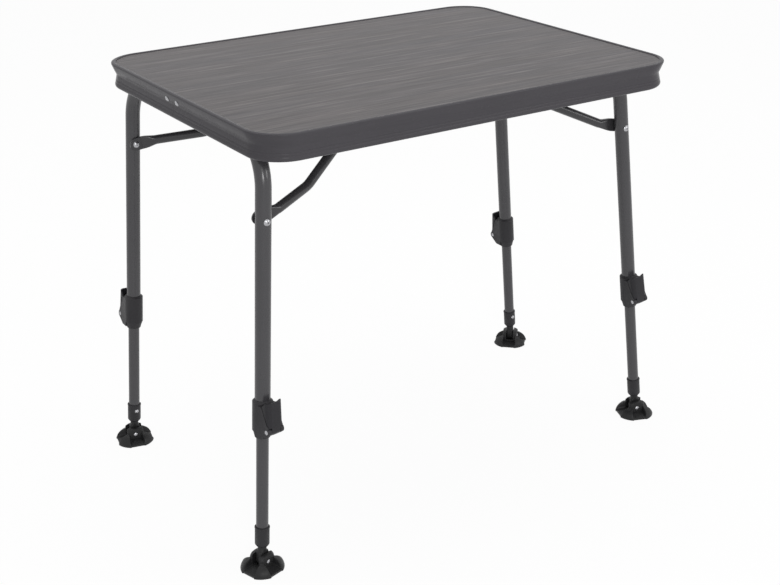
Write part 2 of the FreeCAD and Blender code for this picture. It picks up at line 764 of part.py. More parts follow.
def brace_catch(brace):
    """Strip hook under the board, open towards the table's middle, where the crossbar swings out."""
    inner = BRACE_RADIUS + CATCH_CLEARANCE
    outer = inner + CATCH_THICKNESS
    inwards = brace.inwards
    low = -CATCH_WIDTH / 2

    def at(step, rise):
        return Vector(brace.crossbar_x() + inwards * step, low, CROSSBAR_HEIGHT + rise)

    def around(radius, degrees):
        angle = math.radians(degrees)
        return at(radius * math.cos(angle), radius * math.sin(angle))

    mouth = math.radians(CATCH_MOUTH_ANGLE)
    foot = 270 - CATCH_MOUTH_ANGLE
    lip = Vector(inwards * CATCH_LIP * math.cos(mouth), 0, -CATCH_LIP * math.sin(mouth))
    edges = [
        line(at(CATCH_FLANGE, inner), at(CATCH_FLANGE, outer)),
        line(at(CATCH_FLANGE, outer), at(0, outer)),
        arc(at(0, outer), around(outer, (90 + foot) / 2), around(outer, foot)),
        line(around(outer, foot), around(outer, foot) + lip),
        line(around(outer, foot) + lip, around(inner, foot) + lip),
        line(around(inner, foot) + lip, around(inner, foot)),
        arc(around(inner, foot), around(inner, (90 + foot) / 2), at(0, inner)),
        line(at(0, inner), at(CATCH_FLANGE, inner)),
    ]
    strip = face_of(edges).extrude(Vector(0, CATCH_WIDTH, 0))
    radius = SCREW_DIAMETER / 2 + FIXING_CLEARANCE
    rise = Vector(0, 0, 2 * CATCH_THICKNESS)
    holes = [rod(radius, seat - rise, seat + rise) for seat in catch_seats(brace)]
    return strip.cut(holes)


def catch_seats(brace):
    """Where the two screws of one catch bear on its flange."""
    clear = BRACE_RADIUS + CATCH_CLEARANCE
    x = brace.crossbar_x() + brace.inwards * (CATCH_FLANGE + clear) / 2
    return [Vector(x, half * CATCH_SCREW_SPACING, PANEL_BOTTOM - CATCH_THICKNESS) for half in (-0.5, 0.5)]


def catch_screw_seats():
    return [seat for side in SIDES for seat in catch_seats(Brace(side))]


# Lower legs, modelled in the leg's own frame

def lower_tube():
    length = LOWER_TUBE_TOP - LOWER_TUBE_SEAT
    seat = Vector(0, 0, LOWER_TUBE_SEAT)
    tube = Part.makeCylinder(LOWER_RADIUS, length, seat)
    bore = Part.makeCylinder(LOWER_BORE, length, seat)
    return tube.cut([bore, socket_rivet_hole()])


def glide_bush():
    """Plug in the lower tube's upper end, with a collar that runs in the upper tube."""
    plug = LOWER_BORE - FIXING_CLEARANCE
    rim = UPPER_BORE - SLIDE_CLEARANCE
    edge = BUSH_HEIGHT / 5
    return turned([(0, LOWER_TUBE_TOP - BUSH_PLUG), (plug, LOWER_TUBE_TOP - BUSH_PLUG),
                   (plug, LOWER_TUBE_TOP), (rim, LOWER_TUBE_TOP),
                   (rim, LOWER_TUBE_TOP + BUSH_HEIGHT - edge),
                   (rim - edge, LOWER_TUBE_TOP + BUSH_HEIGHT), (0, LOWER_TUBE_TOP + BUSH_HEIGHT)])


def foot_socket():
    """Sleeve on the lower tube's end, its floor bored for the swivel neck."""
    radius = SOCKET_DIAMETER / 2
    top = SOCKET_BASE + SOCKET_LENGTH
    tube_bore = LOWER_RADIUS + FIXING_CLEARANCE
    neck_bore = NECK_SPIGOT_DIAMETER / 2 + NECK_CLEARANCE / 2
    rim_foot = top - SOCKET_RIM_HEIGHT
    sleeve = turned([(neck_bore, SOCKET_BASE), (SOCKET_FOOT_DIAMETER / 2, SOCKET_BASE),
                     (radius, SOCKET_BASE + SOCKET_TAPER), (radius, rim_foot),
                     (radius + SOCKET_RIM, rim_foot + SOCKET_RIM), (radius + SOCKET_RIM, top - SOCKET_RIM),
                     (radius, top), (tube_bore, top), (tube_bore, LOWER_TUBE_SEAT),
                     (neck_bore, LOWER_TUBE_SEAT)])
    return sleeve.cut(socket_rivet_hole())


def socket_rivet_hole():
    height = SOCKET_BASE + SOCKET_RIVET_UP
    radius = SOCKET_RIVET_DIAMETER / 2 + FIXING_CLEARANCE
    return rod(radius, Vector(0, 0, height), Vector(0, -SOCKET_DIAMETER, height))


def socket_rivet():
    """Rivet through the sleeve and the tube's wall, on the side that faces the table's middle."""
    height = SOCKET_BASE + SOCKET_RIVET_UP
    seat = Vector(0, -SOCKET_DIAMETER / 2, height)
    shank = rod(SOCKET_RIVET_DIAMETER / 2, Vector(0, -LOWER_BORE + LOWER_TUBE_WALL, height), seat)
    head = dome_head(SOCKET_RIVET_HEAD / 2, SOCKET_RIVET_CROWN, seat, ALONG_Y * -1)
    return joined([shank, head])


# Clamps, modelled in the leg's own frame

def lever_side(points):
    """Face in the YZ plane through (out, up) points, measured from the collar's base."""
    return polygon([Vector(0, out, COLLAR_BASE + up) for out, up in points])


def across_slab(face, low, high):
    """Solid from a YZ face, between two distances across the leg."""
    return placed(face, Placement(Vector(low, 0, 0), Rotation())).extrude(Vector(high - low, 0, 0))


def both_cheeks(face, inner, outer):
    return [across_slab(face, inner, outer), across_slab(face, -outer, -inner)]


def lever_pin_axis():
    return Vector(0, LEVER_PIN_OUT, COLLAR_BASE + LEVER_PIN_UP)


def across_rod(radius, half_length, shift=Vector()):
    """Round bar along the lever pin's line."""
    middle = lever_pin_axis() + shift
    return rod(radius, middle - ALONG_X * half_length, middle + ALONG_X * half_length)


def seam_point(up):
    """How far out the slanting seam between ear and lever lies, at a height."""
    ear_top = LEVER_PIN_UP + EAR_RADIUS
    ear_out = LEVER_PIN_OUT + EAR_RADIUS / 2
    return EAR_TOP_OUT + (ear_out - EAR_TOP_OUT) * (EAR_TOP_UP - up) / (EAR_TOP_UP - ear_top)


def clamp_collar():
    """Moulded collar on the upper tube's end, with a sprung tongue and two ears for the lever."""
    top = COLLAR_BASE + COLLAR_LENGTH
    grip = LOWER_RADIUS + SLIDE_CLEARANCE
    seat = UPPER_RADIUS + COLLAR_SEAT_CLEARANCE
    taper = COLLAR_BASE + COLLAR_FOOT_TAPER
    body = turned([(0, COLLAR_BASE), (grip + COLLAR_FOOT_WALL, COLLAR_BASE),
                   (COLLAR_RADIUS - COLLAR_TOP_CHAMFER / 3, taper), (COLLAR_RADIUS, taper),
                   (COLLAR_RADIUS, top - COLLAR_TOP_CHAMFER),
                   (COLLAR_RADIUS - COLLAR_TOP_CHAMFER, top), (0, top)])
    root = COLLAR_RADIUS - COLLAR_FOOT_WALL
    ear = lever_side([(0, COLLAR_TOP_CHAMFER), (root, COLLAR_TOP_CHAMFER),
                      (LEVER_PIN_OUT + EAR_RADIUS / 3, LEVER_PIN_UP - EAR_RADIUS),
                      (LEVER_PIN_OUT, LEVER_PIN_UP),
                      (seam_point(LEVER_PIN_UP + EAR_RADIUS), LEVER_PIN_UP + EAR_RADIUS),
                      (EAR_TOP_OUT, EAR_TOP_UP), (0, EAR_TOP_UP)])
    tip = across_rod(EAR_RADIUS, CHEEK_OUTER)
    between = block(Vector(-CHEEK_INNER, COLLAR_RADIUS, COLLAR_BASE),
                    Vector(CHEEK_INNER, 2 * LEVER_PIN_OUT, top))
    ears = joined(both_cheeks(ear, CHEEK_INNER, CHEEK_OUTER) + [tip.cut(between)])
    bores = [Part.makeCylinder(grip, COLLAR_LENGTH, Vector(0, 0, COLLAR_BASE)),
             Part.makeCylinder(seat, COLLAR_LENGTH, Vector(0, 0, UPPER_TUBE_END)),
             across_rod(LEVER_PIN_DIAMETER / 2 + FIXING_CLEARANCE, 2 * CHEEK_OUTER)]
    slits = [block(Vector(side * TONGUE_HALF_WIDTH - TONGUE_SLIT / 2, 0, COLLAR_BASE),
                   Vector(side * TONGUE_HALF_WIDTH + TONGUE_SLIT / 2, COLLAR_RADIUS,
                          COLLAR_BASE + TONGUE_LENGTH)) for side in (-1, 1)]
    return joined([body, ears]).cut(bores + slits)


def lever_face(up):
    """How far out the lever's leaning thumb plate lies, at a height."""
    heel = lever_heel()
    return LEVER_FACE_OUT - LEVER_TOP_LEAN * (up - heel) / (LEVER_TOP_UP - heel)


def lever_heel():
    """Height of the thumb plate's lower edge, clear of the ears' round ends."""
    return LEVER_PIN_UP + EAR_RADIUS + 2 * LEVER_GAP


def lever_shell():
    """Thumb plate with two side cheeks, hollow behind and rounded at its outer corners."""
    heel = lever_heel()
    top = LEVER_TOP_UP
    gap = 2 * LEVER_GAP
    outside = lever_side([(seam_point(heel) + gap, heel), (lever_face(heel), heel), (lever_face(top), top),
                          (lever_face(top) - LEVER_CORNER, top), (EAR_TOP_OUT + gap, EAR_TOP_UP + gap)])
    shell = outer_edges_rounded(across_slab(outside, -CHEEK_OUTER, CHEEK_OUTER), LEVER_EDGE)
    low = heel - LEVER_WALL
    high = top + LEVER_WALL
    inside = lever_side([(0, low), (lever_face(low) - LEVER_WALL, low),
                         (lever_face(high) - LEVER_WALL, high), (0, high)])
    hollow = across_slab(inside, LEVER_WALL - CHEEK_OUTER, CHEEK_OUTER - LEVER_WALL)
    return shell.cut(outer_edges_rounded(hollow, LEVER_EDGE - LEVER_WALL))


def outer_edges_rounded(slab, radius):
    """A slab along the lever with its two long outer edges rounded."""
    top_face = lever_face(LEVER_TOP_UP) - 2 * LEVER_WALL
    edges = [edge for edge in slab.Edges
             if edge.BoundBox.YMin > top_face and edge.BoundBox.ZLength > LEVER_CORNER]
    return slab.makeFillet(radius, edges)


def clamp_lever():
    """Cam lever: the thumb plate's shell, and a cam on the pin between the collar's ears."""
    heel = lever_heel()
    half = CHEEK_INNER - LEVER_GAP
    cam = across_rod(CAM_RADIUS, half, Vector(0, -CAM_OFFSET, 0))
    knuckle = across_rod(LEVER_FACE_OUT - LEVER_PIN_OUT, half)
    grip = heel + LEVER_WALL
    web = across_slab(lever_side([(LEVER_PIN_OUT, LEVER_PIN_UP), (LEVER_FACE_OUT, LEVER_PIN_UP),
                                  (LEVER_FACE_OUT, heel), (lever_face(grip), grip),
                                  (lever_face(grip) - LEVER_WALL, grip)]),
                      -half, half)
    pin = across_rod(LEVER_PIN_DIAMETER / 2 + LEVER_PIN_CLEARANCE, CHEEK_OUTER)
    return joined([lever_shell(), cam, knuckle, web]).cut(pin)


def lever_pin():
    """Pin through the ears and the cam, with a low round head outside each ear."""
    shank = across_rod(LEVER_PIN_DIAMETER / 2, CHEEK_OUTER)
    heads = [dome_head(LEVER_PIN_HEAD / 2, LEVER_PIN_HEAD_HEIGHT,
                       lever_pin_axis() + ALONG_X * (side * CHEEK_OUTER), ALONG_X * side)
             for side in (-1, 1)]
    return joined([shank] + heads)


# Feet

def foot_turn(side, end):
    """Placement of a foot: flat on the floor under its tilt pin, turned about the vertical."""
    pin = LegFrame(side).pin(end)
    return Placement(Vector(pin.x, pin.y, 0), Rotation(ALONG_Z, FOOT_TURNS[f"{side}_{end}"]))


def tilt_axis(side, end):
    """Direction of a foot's tilt pin."""
    return foot_turn(side, end).Rotation.multVec(ALONG_Y)


def swivel_neck(side, end):
    """Neck: a spigot with a head in the socket, and a flat-sided knuckle round the tilt pin."""
    frame = LegFrame(side)
    axis = tilt_axis(side, end)
    pin = frame.pin(end)
    shoulder = SOCKET_BASE - NECK_CLEARANCE
    head_foot = LOWER_TUBE_SEAT + NECK_CLEARANCE
    stem = turned([(0, 0), (NECK_DIAMETER / 2, 0), (NECK_DIAMETER / 2, shoulder),
                   (NECK_SPIGOT_DIAMETER / 2, shoulder), (NECK_SPIGOT_DIAMETER / 2, head_foot),
                   (NECK_HEAD_DIAMETER / 2, head_foot),
                   (NECK_HEAD_DIAMETER / 2, head_foot + NECK_HEAD_HEIGHT),
                   (0, head_foot + NECK_HEAD_HEIGHT)])
    half = axis * (KNUCKLE_THICKNESS / 2)
    knuckle = rod(KNUCKLE_RADIUS, pin - half, pin + half)
    shank = placed(block(Vector(-KNUCKLE_RADIUS, -KNUCKLE_THICKNESS / 2, PIN_HEIGHT),
                         Vector(KNUCKLE_RADIUS, KNUCKLE_THICKNESS / 2, PIN_HEIGHT + KNUCKLE_HEIGHT)),
                   foot_turn(side, end))
    spare = NECK_DIAMETER
    cheek = Part.makeBox(2 * spare, spare, NECK_FLAT_HEIGHT + spare,
                         Vector(-spare, KNUCKLE_THICKNESS / 2, PIN_HEIGHT - spare))
    flats = [placed(cheek, foot_turn(side, end)),
             placed(cheek.mirror(Vector(), ALONG_Y), foot_turn(side, end))]
    neck = joined([placed(stem, frame.place(end)).cut(flats), knuckle, shank])
    reach = axis * KNUCKLE_THICKNESS
    return neck.cut(rod(TILT_PIN_DIAMETER / 2 + TILT_PIN_CLEARANCE, pin - reach, pin + reach))


def foot_body():
    """Round foot with lobes on its skirt, standing at the origin with its tilt pin along Y."""
    radius = FOOT_DIAMETER / 2
    edge = FOOT_SKIRT / 3
    outline = [Vector(0, 0, 0), Vector(radius - edge, 0, 0), Vector(radius, 0, edge),
               Vector(radius, 0, FOOT_SKIRT)]
    shoulder = Vector(FOOT_SHOULDER_RADIUS, 0, FOOT_SHOULDER_HEIGHT)
    outwards = Vector(1, 0, 1)
    bulge = (outline[-1] + shoulder) * 0.5 + outwards * FOOT_BULGE
    hub = Vector(FOOT_HUB_RADIUS, 0, FOOT_SHOULDER_HEIGHT + FOOT_SKIRT / 2)
    crown = Vector(FOOT_HUB_TOP_RADIUS, 0, FOOT_HEIGHT)
    dome = (hub + crown) * 0.5 + outwards * FOOT_BULGE
    edges = [line(a, b) for a, b in zip(outline, outline[1:])]
    edges += [arc(outline[-1], bulge, shoulder), line(shoulder, hub), arc(hub, dome, crown),
              line(crown, Vector(0, 0, FOOT_HEIGHT)), line(Vector(0, 0, FOOT_HEIGHT), Vector())]
    body = face_of(edges).revolve(Vector(), ALONG_Z, 360)
    return body.cut(foot_bays() + [neck_slot(), pin_bore()])


def foot_bays():
    """Sloping bays between the lobes, each with the skirt cut back; the pin's heads bear in two of them."""
    radius = FOOT_DIAMETER / 2
    start = TILT_PIN_HALF_LENGTH
    far = radius + FOOT_SKIRT
    half_in = BAY_INNER_WIDTH / 2
    half_out = BAY_OUTER_WIDTH / 2
    top = FOOT_HEIGHT
    slope = polygon([Vector(start, -radius, BAY_INNER_FLOOR), Vector(far, -radius, BAY_OUTER_FLOOR),
                     Vector(far, -radius, top), Vector(start, -radius, top)]).extrude(Vector(0, 2 * radius, 0))
    plan = polygon([Vector(start, -half_in, 0), Vector(far, -half_out, 0),
                    Vector(far, half_out, 0), Vector(start, half_in, 0)]).extrude(Vector(0, 0, top))
    notch = block(Vector(radius - BAY_NOTCH, -half_out, 0), Vector(far, half_out, top)).common(plan)
    cuts = []
    for index in range(FOOT_LOBES):
        turn = Placement(Vector(), Rotation(ALONG_Z, index * 360 / FOOT_LOBES))
        cuts += [placed(slope.common(plan), turn), placed(notch, turn)]
    return cuts


def neck_slot():
    """Slot right across the hub in which the knuckle turns and the neck leans both ways."""
    half = KNUCKLE_THICKNESS / 2 + KNUCKLE_CLEARANCE
    bowl = KNUCKLE_RADIUS + KNUCKLE_CLEARANCE
    radius = FOOT_DIAMETER / 2
    round_part = Part.makeCylinder(bowl, 2 * half, Vector(0, -half, PIN_HEIGHT), ALONG_Y)
    passage = block(Vector(-radius, -half, PIN_HEIGHT - SLOT_DROP), Vector(radius, half, 2 * FOOT_HEIGHT))
    return joined([round_part, passage])


def pin_bore():
    """Bore for the tilt pin."""
    reach = Vector(0, FOOT_DIAMETER / 2, 0)
    middle = Vector(0, 0, PIN_HEIGHT)
    return rod(TILT_PIN_DIAMETER / 2 + FIXING_CLEARANCE, middle - reach, middle + reach)


def tilt_pin():
    middle = Vector(0, 0, PIN_HEIGHT)
    half = ALONG_Y * TILT_PIN_HALF_LENGTH
    shank = rod(TILT_PIN_DIAMETER / 2, middle - half, middle + half)
    heads = [dome_head(TILT_PIN_HEAD / 2, TILT_PIN_HEAD_HEIGHT, middle + half * side, ALONG_Y * side)
             for side in (-1, 1)]
    return joined([shank] + heads)


def nodes():
    """Every piece by its node's name."""
    pieces = {
        "table_top_panel": table_top_panel(),
        "edge_frame": edge_frame(),
        "splice_plate": splice_plate(),
        "splice_rivets": splice_rivets(),
        "saddle_screws": screws(saddle_screw_seats()),
        "catch_screws": screws(catch_screw_seats()),
    }
    clamp_pieces = {
        "clamp_collar": clamp_collar(),
        "clamp_lever": clamp_lever(),
        "lever_pin": lever_pin(),
    }
    leg_pieces = {
        "lower_tube": lower_tube(),
        "glide_bush": glide_bush(),
        "foot_socket": foot_socket(),
        "socket_rivet": socket_rivet(),
    }
    foot_pieces = {"foot": foot_body(), "tilt_pin": tilt_pin()}
    for side in SIDES:
        frame = LegFrame(side)
        brace = Brace(side)
        pieces[f"{side}_leg_frame"] = leg_frame(frame)
        pieces[f"{side}_brace"] = brace_tube(brace)
        pieces[f"{side}_brace_rivets"] = brace_rivets(brace)
        pieces[f"{side}_brace_catch"] = brace_catch(brace)
        for end in ENDS:
            corner = f"{side}_{end}"
            pieces[f"{corner}_hook_saddle"] = hook_saddle(frame, end)
            pieces[f"{corner}_swivel_neck"] = swivel_neck(side, end)
            for name, shape in clamp_pieces.items():
                pieces[f"{corner}_{name}"] = placed(shape, frame.clamp_place(end))
            for name, shape in leg_pieces.items():
                pieces[f"{corner}_{name}"] = placed(shape, frame.place(end))
            for name, shape in foot_pieces.items():
                pieces[f"{corner}_{name}"] = placed(shape, foot_turn(side, end))
    return pieces


def main():
    os.makedirs("parts", exist_ok=True)
    for name, shape in nodes().items():
        shape.exportStep(f"parts/{name}.step")


if __name__ == "__main__":
    main()
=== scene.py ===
# %% [markdown]
# # A folding camping table
# The table is a laminate board in a bent aluminium rim, on two pairs of tubular legs that fold
# under it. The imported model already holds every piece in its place, with its joints. This lesson
# dresses it: most visible pieces become smooth surfaces worked out with numpy, and every piece gets
# a finish made of nodes. Lengths are in millimetres until a mesh is made, as on a workshop drawing.

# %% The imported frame
import json
import math

import bmesh
import bpy
import numpy as np
from mathutils import Matrix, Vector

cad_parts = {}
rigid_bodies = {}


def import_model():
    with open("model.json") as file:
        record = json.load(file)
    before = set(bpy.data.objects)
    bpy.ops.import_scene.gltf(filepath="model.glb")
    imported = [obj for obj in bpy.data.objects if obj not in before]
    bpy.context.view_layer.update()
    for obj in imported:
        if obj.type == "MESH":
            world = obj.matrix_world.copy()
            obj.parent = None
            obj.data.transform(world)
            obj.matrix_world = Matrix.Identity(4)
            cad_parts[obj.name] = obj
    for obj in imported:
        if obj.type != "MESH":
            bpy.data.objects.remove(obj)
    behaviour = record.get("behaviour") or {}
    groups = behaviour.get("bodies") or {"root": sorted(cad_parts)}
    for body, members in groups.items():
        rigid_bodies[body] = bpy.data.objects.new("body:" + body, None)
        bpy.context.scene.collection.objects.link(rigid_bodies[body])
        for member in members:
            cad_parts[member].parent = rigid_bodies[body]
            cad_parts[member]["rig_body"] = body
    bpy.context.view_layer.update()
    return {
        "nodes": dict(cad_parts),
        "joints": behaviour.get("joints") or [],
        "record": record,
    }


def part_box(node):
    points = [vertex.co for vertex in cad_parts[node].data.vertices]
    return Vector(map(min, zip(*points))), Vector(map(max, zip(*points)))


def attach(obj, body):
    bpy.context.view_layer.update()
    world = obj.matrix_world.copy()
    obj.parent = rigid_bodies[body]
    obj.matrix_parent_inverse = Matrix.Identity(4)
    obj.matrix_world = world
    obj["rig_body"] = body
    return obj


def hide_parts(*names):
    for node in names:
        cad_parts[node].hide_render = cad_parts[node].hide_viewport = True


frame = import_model()
MM = 0.001
JOINTS = {joint["name"]: joint for joint in frame["joints"]}

# %% [markdown]
# ## Grids become meshes
# A smooth piece is a function of two parameters. Sampled on a grid, its points make rows and
# columns, and each small square of four neighbours is a face. A tube's columns close on themselves,
# and a row that shrinks to one point closes a tip. The same few lines then serve every piece, which
# is why a grid is easier to keep tidy here than modelling face by face.

# %% One mesh from several grids
WELD_DISTANCE, SLIVER_LENGTH = 2e-6, 1e-6


def grid_faces(grid, first, wrap_rows, wrap_columns):
    """Faces of a grid: point (i, j) joins (i+1, j), (i+1, j+1) and (i, j+1)."""
    index = first + np.arange(grid.shape[0] * grid.shape[1]).reshape(grid.shape[:2])
    if wrap_rows:
        index = np.vstack([index, index[:1]])
    if wrap_columns:
        index = np.hstack([index, index[:, :1]])
    corners = [index[:-1, :-1], index[1:, :-1], index[1:, 1:], index[:-1, 1:]]
    return np.stack(corners, -1).reshape(-1, 4)


def dressed(name, points, faces, body, nodes, slot, material, fill=False, crease=38):
    """A welded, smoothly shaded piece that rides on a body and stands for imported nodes."""
    mesh = bpy.data.meshes.new(name)
    mesh.from_pydata(points.tolist(), [], faces.tolist())
    cleaner = bmesh.new()
    cleaner.from_mesh(mesh)
    bmesh.ops.remove_doubles(cleaner, verts=cleaner.verts, dist=WELD_DISTANCE)
    bmesh.ops.dissolve_degenerate(cleaner, edges=cleaner.edges, dist=SLIVER_LENGTH)
    if fill:
        open_edges = [edge for edge in cleaner.edges if edge.is_boundary]
        bmesh.ops.holes_fill(cleaner, edges=open_edges, sides=0)
    bmesh.ops.recalc_face_normals(cleaner, faces=cleaner.faces)
    cleaner.to_mesh(mesh)
    cleaner.free()
    mesh.polygons.foreach_set("use_smooth", np.ones(len(mesh.polygons), bool))
    mesh.set_sharp_from_angle(angle=math.radians(crease))
    made = bpy.data.objects.new(name, mesh)
    bpy.context.scene.collection.objects.link(made)
    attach(made, body)
    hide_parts(*nodes)
    made.data.materials.append(material)
    return made


def piece(name, shells, body, nodes, slot, material, **options):
    """A piece from shells of (grid in millimetres, rows close, columns close)."""
    points, faces, first = [], [], 0
    for grid, wrap_rows, wrap_columns in shells:
        faces.append(grid_faces(grid, first, wrap_rows, wrap_columns))
        points.append(grid.reshape(-1, 3) * MM)
        first += len(points[-1])
    return dressed(name, np.vstack(points), np.vstack(faces), body, nodes, slot, material, **options)


print("mesh helpers ready")

# %% [markdown]
# ## Paths and sections
# A bent path is straight runs joined by arcs that touch them, like a tube from a bender. A section
# carried along that path gives the tubes and the rim. A curve with a bevel would do for a plain tube,
# but a section that is carried by hand may change on its way, as the braces' pressed ends need. The
# frame at each place comes from one fixed reference direction, so that a section never twists.

# %% Bent paths and carried sections
LENGTHWISE = np.array([1.0, 0.0, 0.0])


def unit(vectors):
    """Vectors divided by their own lengths."""
    return vectors / np.linalg.norm(vectors, axis=-1, keepdims=True)


def smooth_step(value):
    """Ease from 0 to 1: 3 t^2 - 2 t^3 with t held between 0 and 1."""
    t = np.clip(value, 0, 1)
    return t * t * (3 - 2 * t)


def bent_path(points, radii, steps=20):
    """Runs through the points; at a corner, an arc: start + r sin(a) t + r (1 - cos(a)) n."""
    points = np.array(points, float)
    runs = unit(np.diff(points, axis=0))
    places, ways = [points[:1]], [runs[:1]]
    for corner, before, after, radius in zip(points[1:-1], runs, runs[1:], radii):
        turn = math.acos(np.clip(before @ after, -1, 1))
        inward = unit(after - before * math.cos(turn))
        angle = np.linspace(0, turn, steps)[:, None]
        start = corner - before * radius * math.tan(turn / 2)
        places.append(start + radius * (np.sin(angle) * before + (1 - np.cos(angle)) * inward))
        ways.append(np.cos(angle) * before + np.sin(angle) * inward)
    return np.vstack(places + [points[-1:]]), np.vstack(ways + [runs[-1:]])


def frames_along(ways, reference):
    """Two unit vectors across each direction: the reference made square to it, and their product."""
    up = unit(reference - (ways @ reference)[:, None] * ways)
    return np.cross(ways, up), up


def carried(section, places, ways, reference):
    """Section points (a, b) at each place: place + a * side + b * up."""
    side, up = frames_along(ways, reference)
    section = np.broadcast_to(section, (len(places),) + section.shape[-2:])
    return (places[:, None] + section[..., :1] * side[:, None] + section[..., 1:] * up[:, None])


def ring(radius, count=40):
    """Points of a circle: r cos(a) and r sin(a)."""
    angle = np.linspace(0, 2 * np.pi, count, endpoint=False)
    return radius * np.stack([np.cos(angle), np.sin(angle)], -1)


def pipe(places, ways, outer, bore):
    """Tube wall: the outer skin out, the bore back, closed at both ends."""
    skin = carried(ring(outer), places, ways, LENGTHWISE)
    inside = carried(ring(bore), places, ways, LENGTHWISE)[::-1]
    return np.vstack([skin, inside]), True, True


print("path helpers ready")

# %% [markdown]
# ## Turned forms
# A profile turned about an axis gives rivet heads, sockets and pins, as on a lathe. The Screw
# modifier turns a profile about X, Y or Z. Here the axis is often a slanting leg's, so the points
# are worked out. Round parts of a profile are arcs through three points, which are easy to measure.

# %% Profiles and turning
PIT_DEPTH, PIT_FLOOR = 0.7, 0.8


def turned(profile, base, axis, count=48, close=False):
    """Profile of (radius, height) turned about an axis: base + r cos(a) u + r sin(a) v + h axis."""
    axis = unit(np.array(axis, float))
    helper = np.eye(3)[np.argmin(np.abs(axis))]
    u = unit(np.cross(helper, axis))
    v = np.cross(axis, u)
    profile = np.array(profile, float)[:, None]
    angle = np.linspace(0, 2 * np.pi, count, endpoint=False)[None, :, None]
    grid = base + profile[..., :1] * (np.cos(angle) * u + np.sin(angle) * v) + profile[..., 1:] * axis
    return grid, close, True


def arc_points(start, middle, end, count=8):
    """Points of the circle through three points, as complex numbers about its centre."""
    a, b, c = (complex(*p) for p in (start, middle, end))
    w = (c - a) / (b - a)
    centre = (b - a) * (w - abs(w) ** 2) / (2j * w.imag) + a
    sweep = np.angle((b - centre) / (a - centre)) + np.angle((c - centre) / (b - centre))
    ray = (a - centre) * np.exp(1j * np.linspace(0, sweep, count)) + centre
    return np.stack([ray.real, ray.imag], -1)


def dome(radius, crown, pit=0.0, count=9):
    """Profile of a rivet head: a cap of a ball of radius (r^2 + h^2) / 2h, with a pit if wanted."""
    ball = (radius ** 2 + crown ** 2) / (2 * crown)
    angle = np.linspace(math.asin(min(1, radius / ball)), math.asin(pit / ball), count)
    cap = np.stack([ball * np.sin(angle), ball * np.cos(angle) - ball + crown], -1)
    floor = cap[-1, 1] - PIT_DEPTH * pit
    return np.vstack([cap, [[PIT_FLOOR * pit, floor], [0, floor]]])


def place_of(joint):
    """A joint's place, in millimetres."""
    return np.array(JOINTS[joint]["pos_m"]) / MM


def axis_of(joint):
    """A joint's axis, as a vector of length one."""
    return unit(np.array(JOINTS[joint]["axis"], float))


print("lathe helpers ready")

# %% [markdown]
# ## Nodes for finishes
# Colours are read off the photograph as screen values and turned into the linear numbers that the
# shader wants. Nodes could be joined by hand in the editor. A small class instead collects the steps
# that every finish needs: noise, a colour ramp, a mix and a bump. All of them read Object
# coordinates, so a grain has the same size on every piece.

# %% Node helpers
NOISE_LOW, NOISE_HIGH = 0.3, 0.7


def linear(red, green, blue):
    """Screen colour, 0 to 255, as linear light: ((c + 0.055) / 1.055)^2.4, or c / 12.92 if dark."""
    value = np.array([red, green, blue]) / 255
    light = np.where(value <= 0.04045, value / 12.92, ((value + 0.055) / 1.055) ** 2.4)
    return tuple(light) + (1.0,)


def shade(colour, amount):
    """A colour made lighter or darker by a factor."""
    return tuple(np.clip(np.array(colour[:3]) * amount, 0, 1)) + (1.0,)


def node_in(tree, kind, **values):
    """A new node in a tree, with its settings."""
    made = tree.nodes.new(kind)
    for key, value in values.items():
        setattr(made, key, value)
    return made


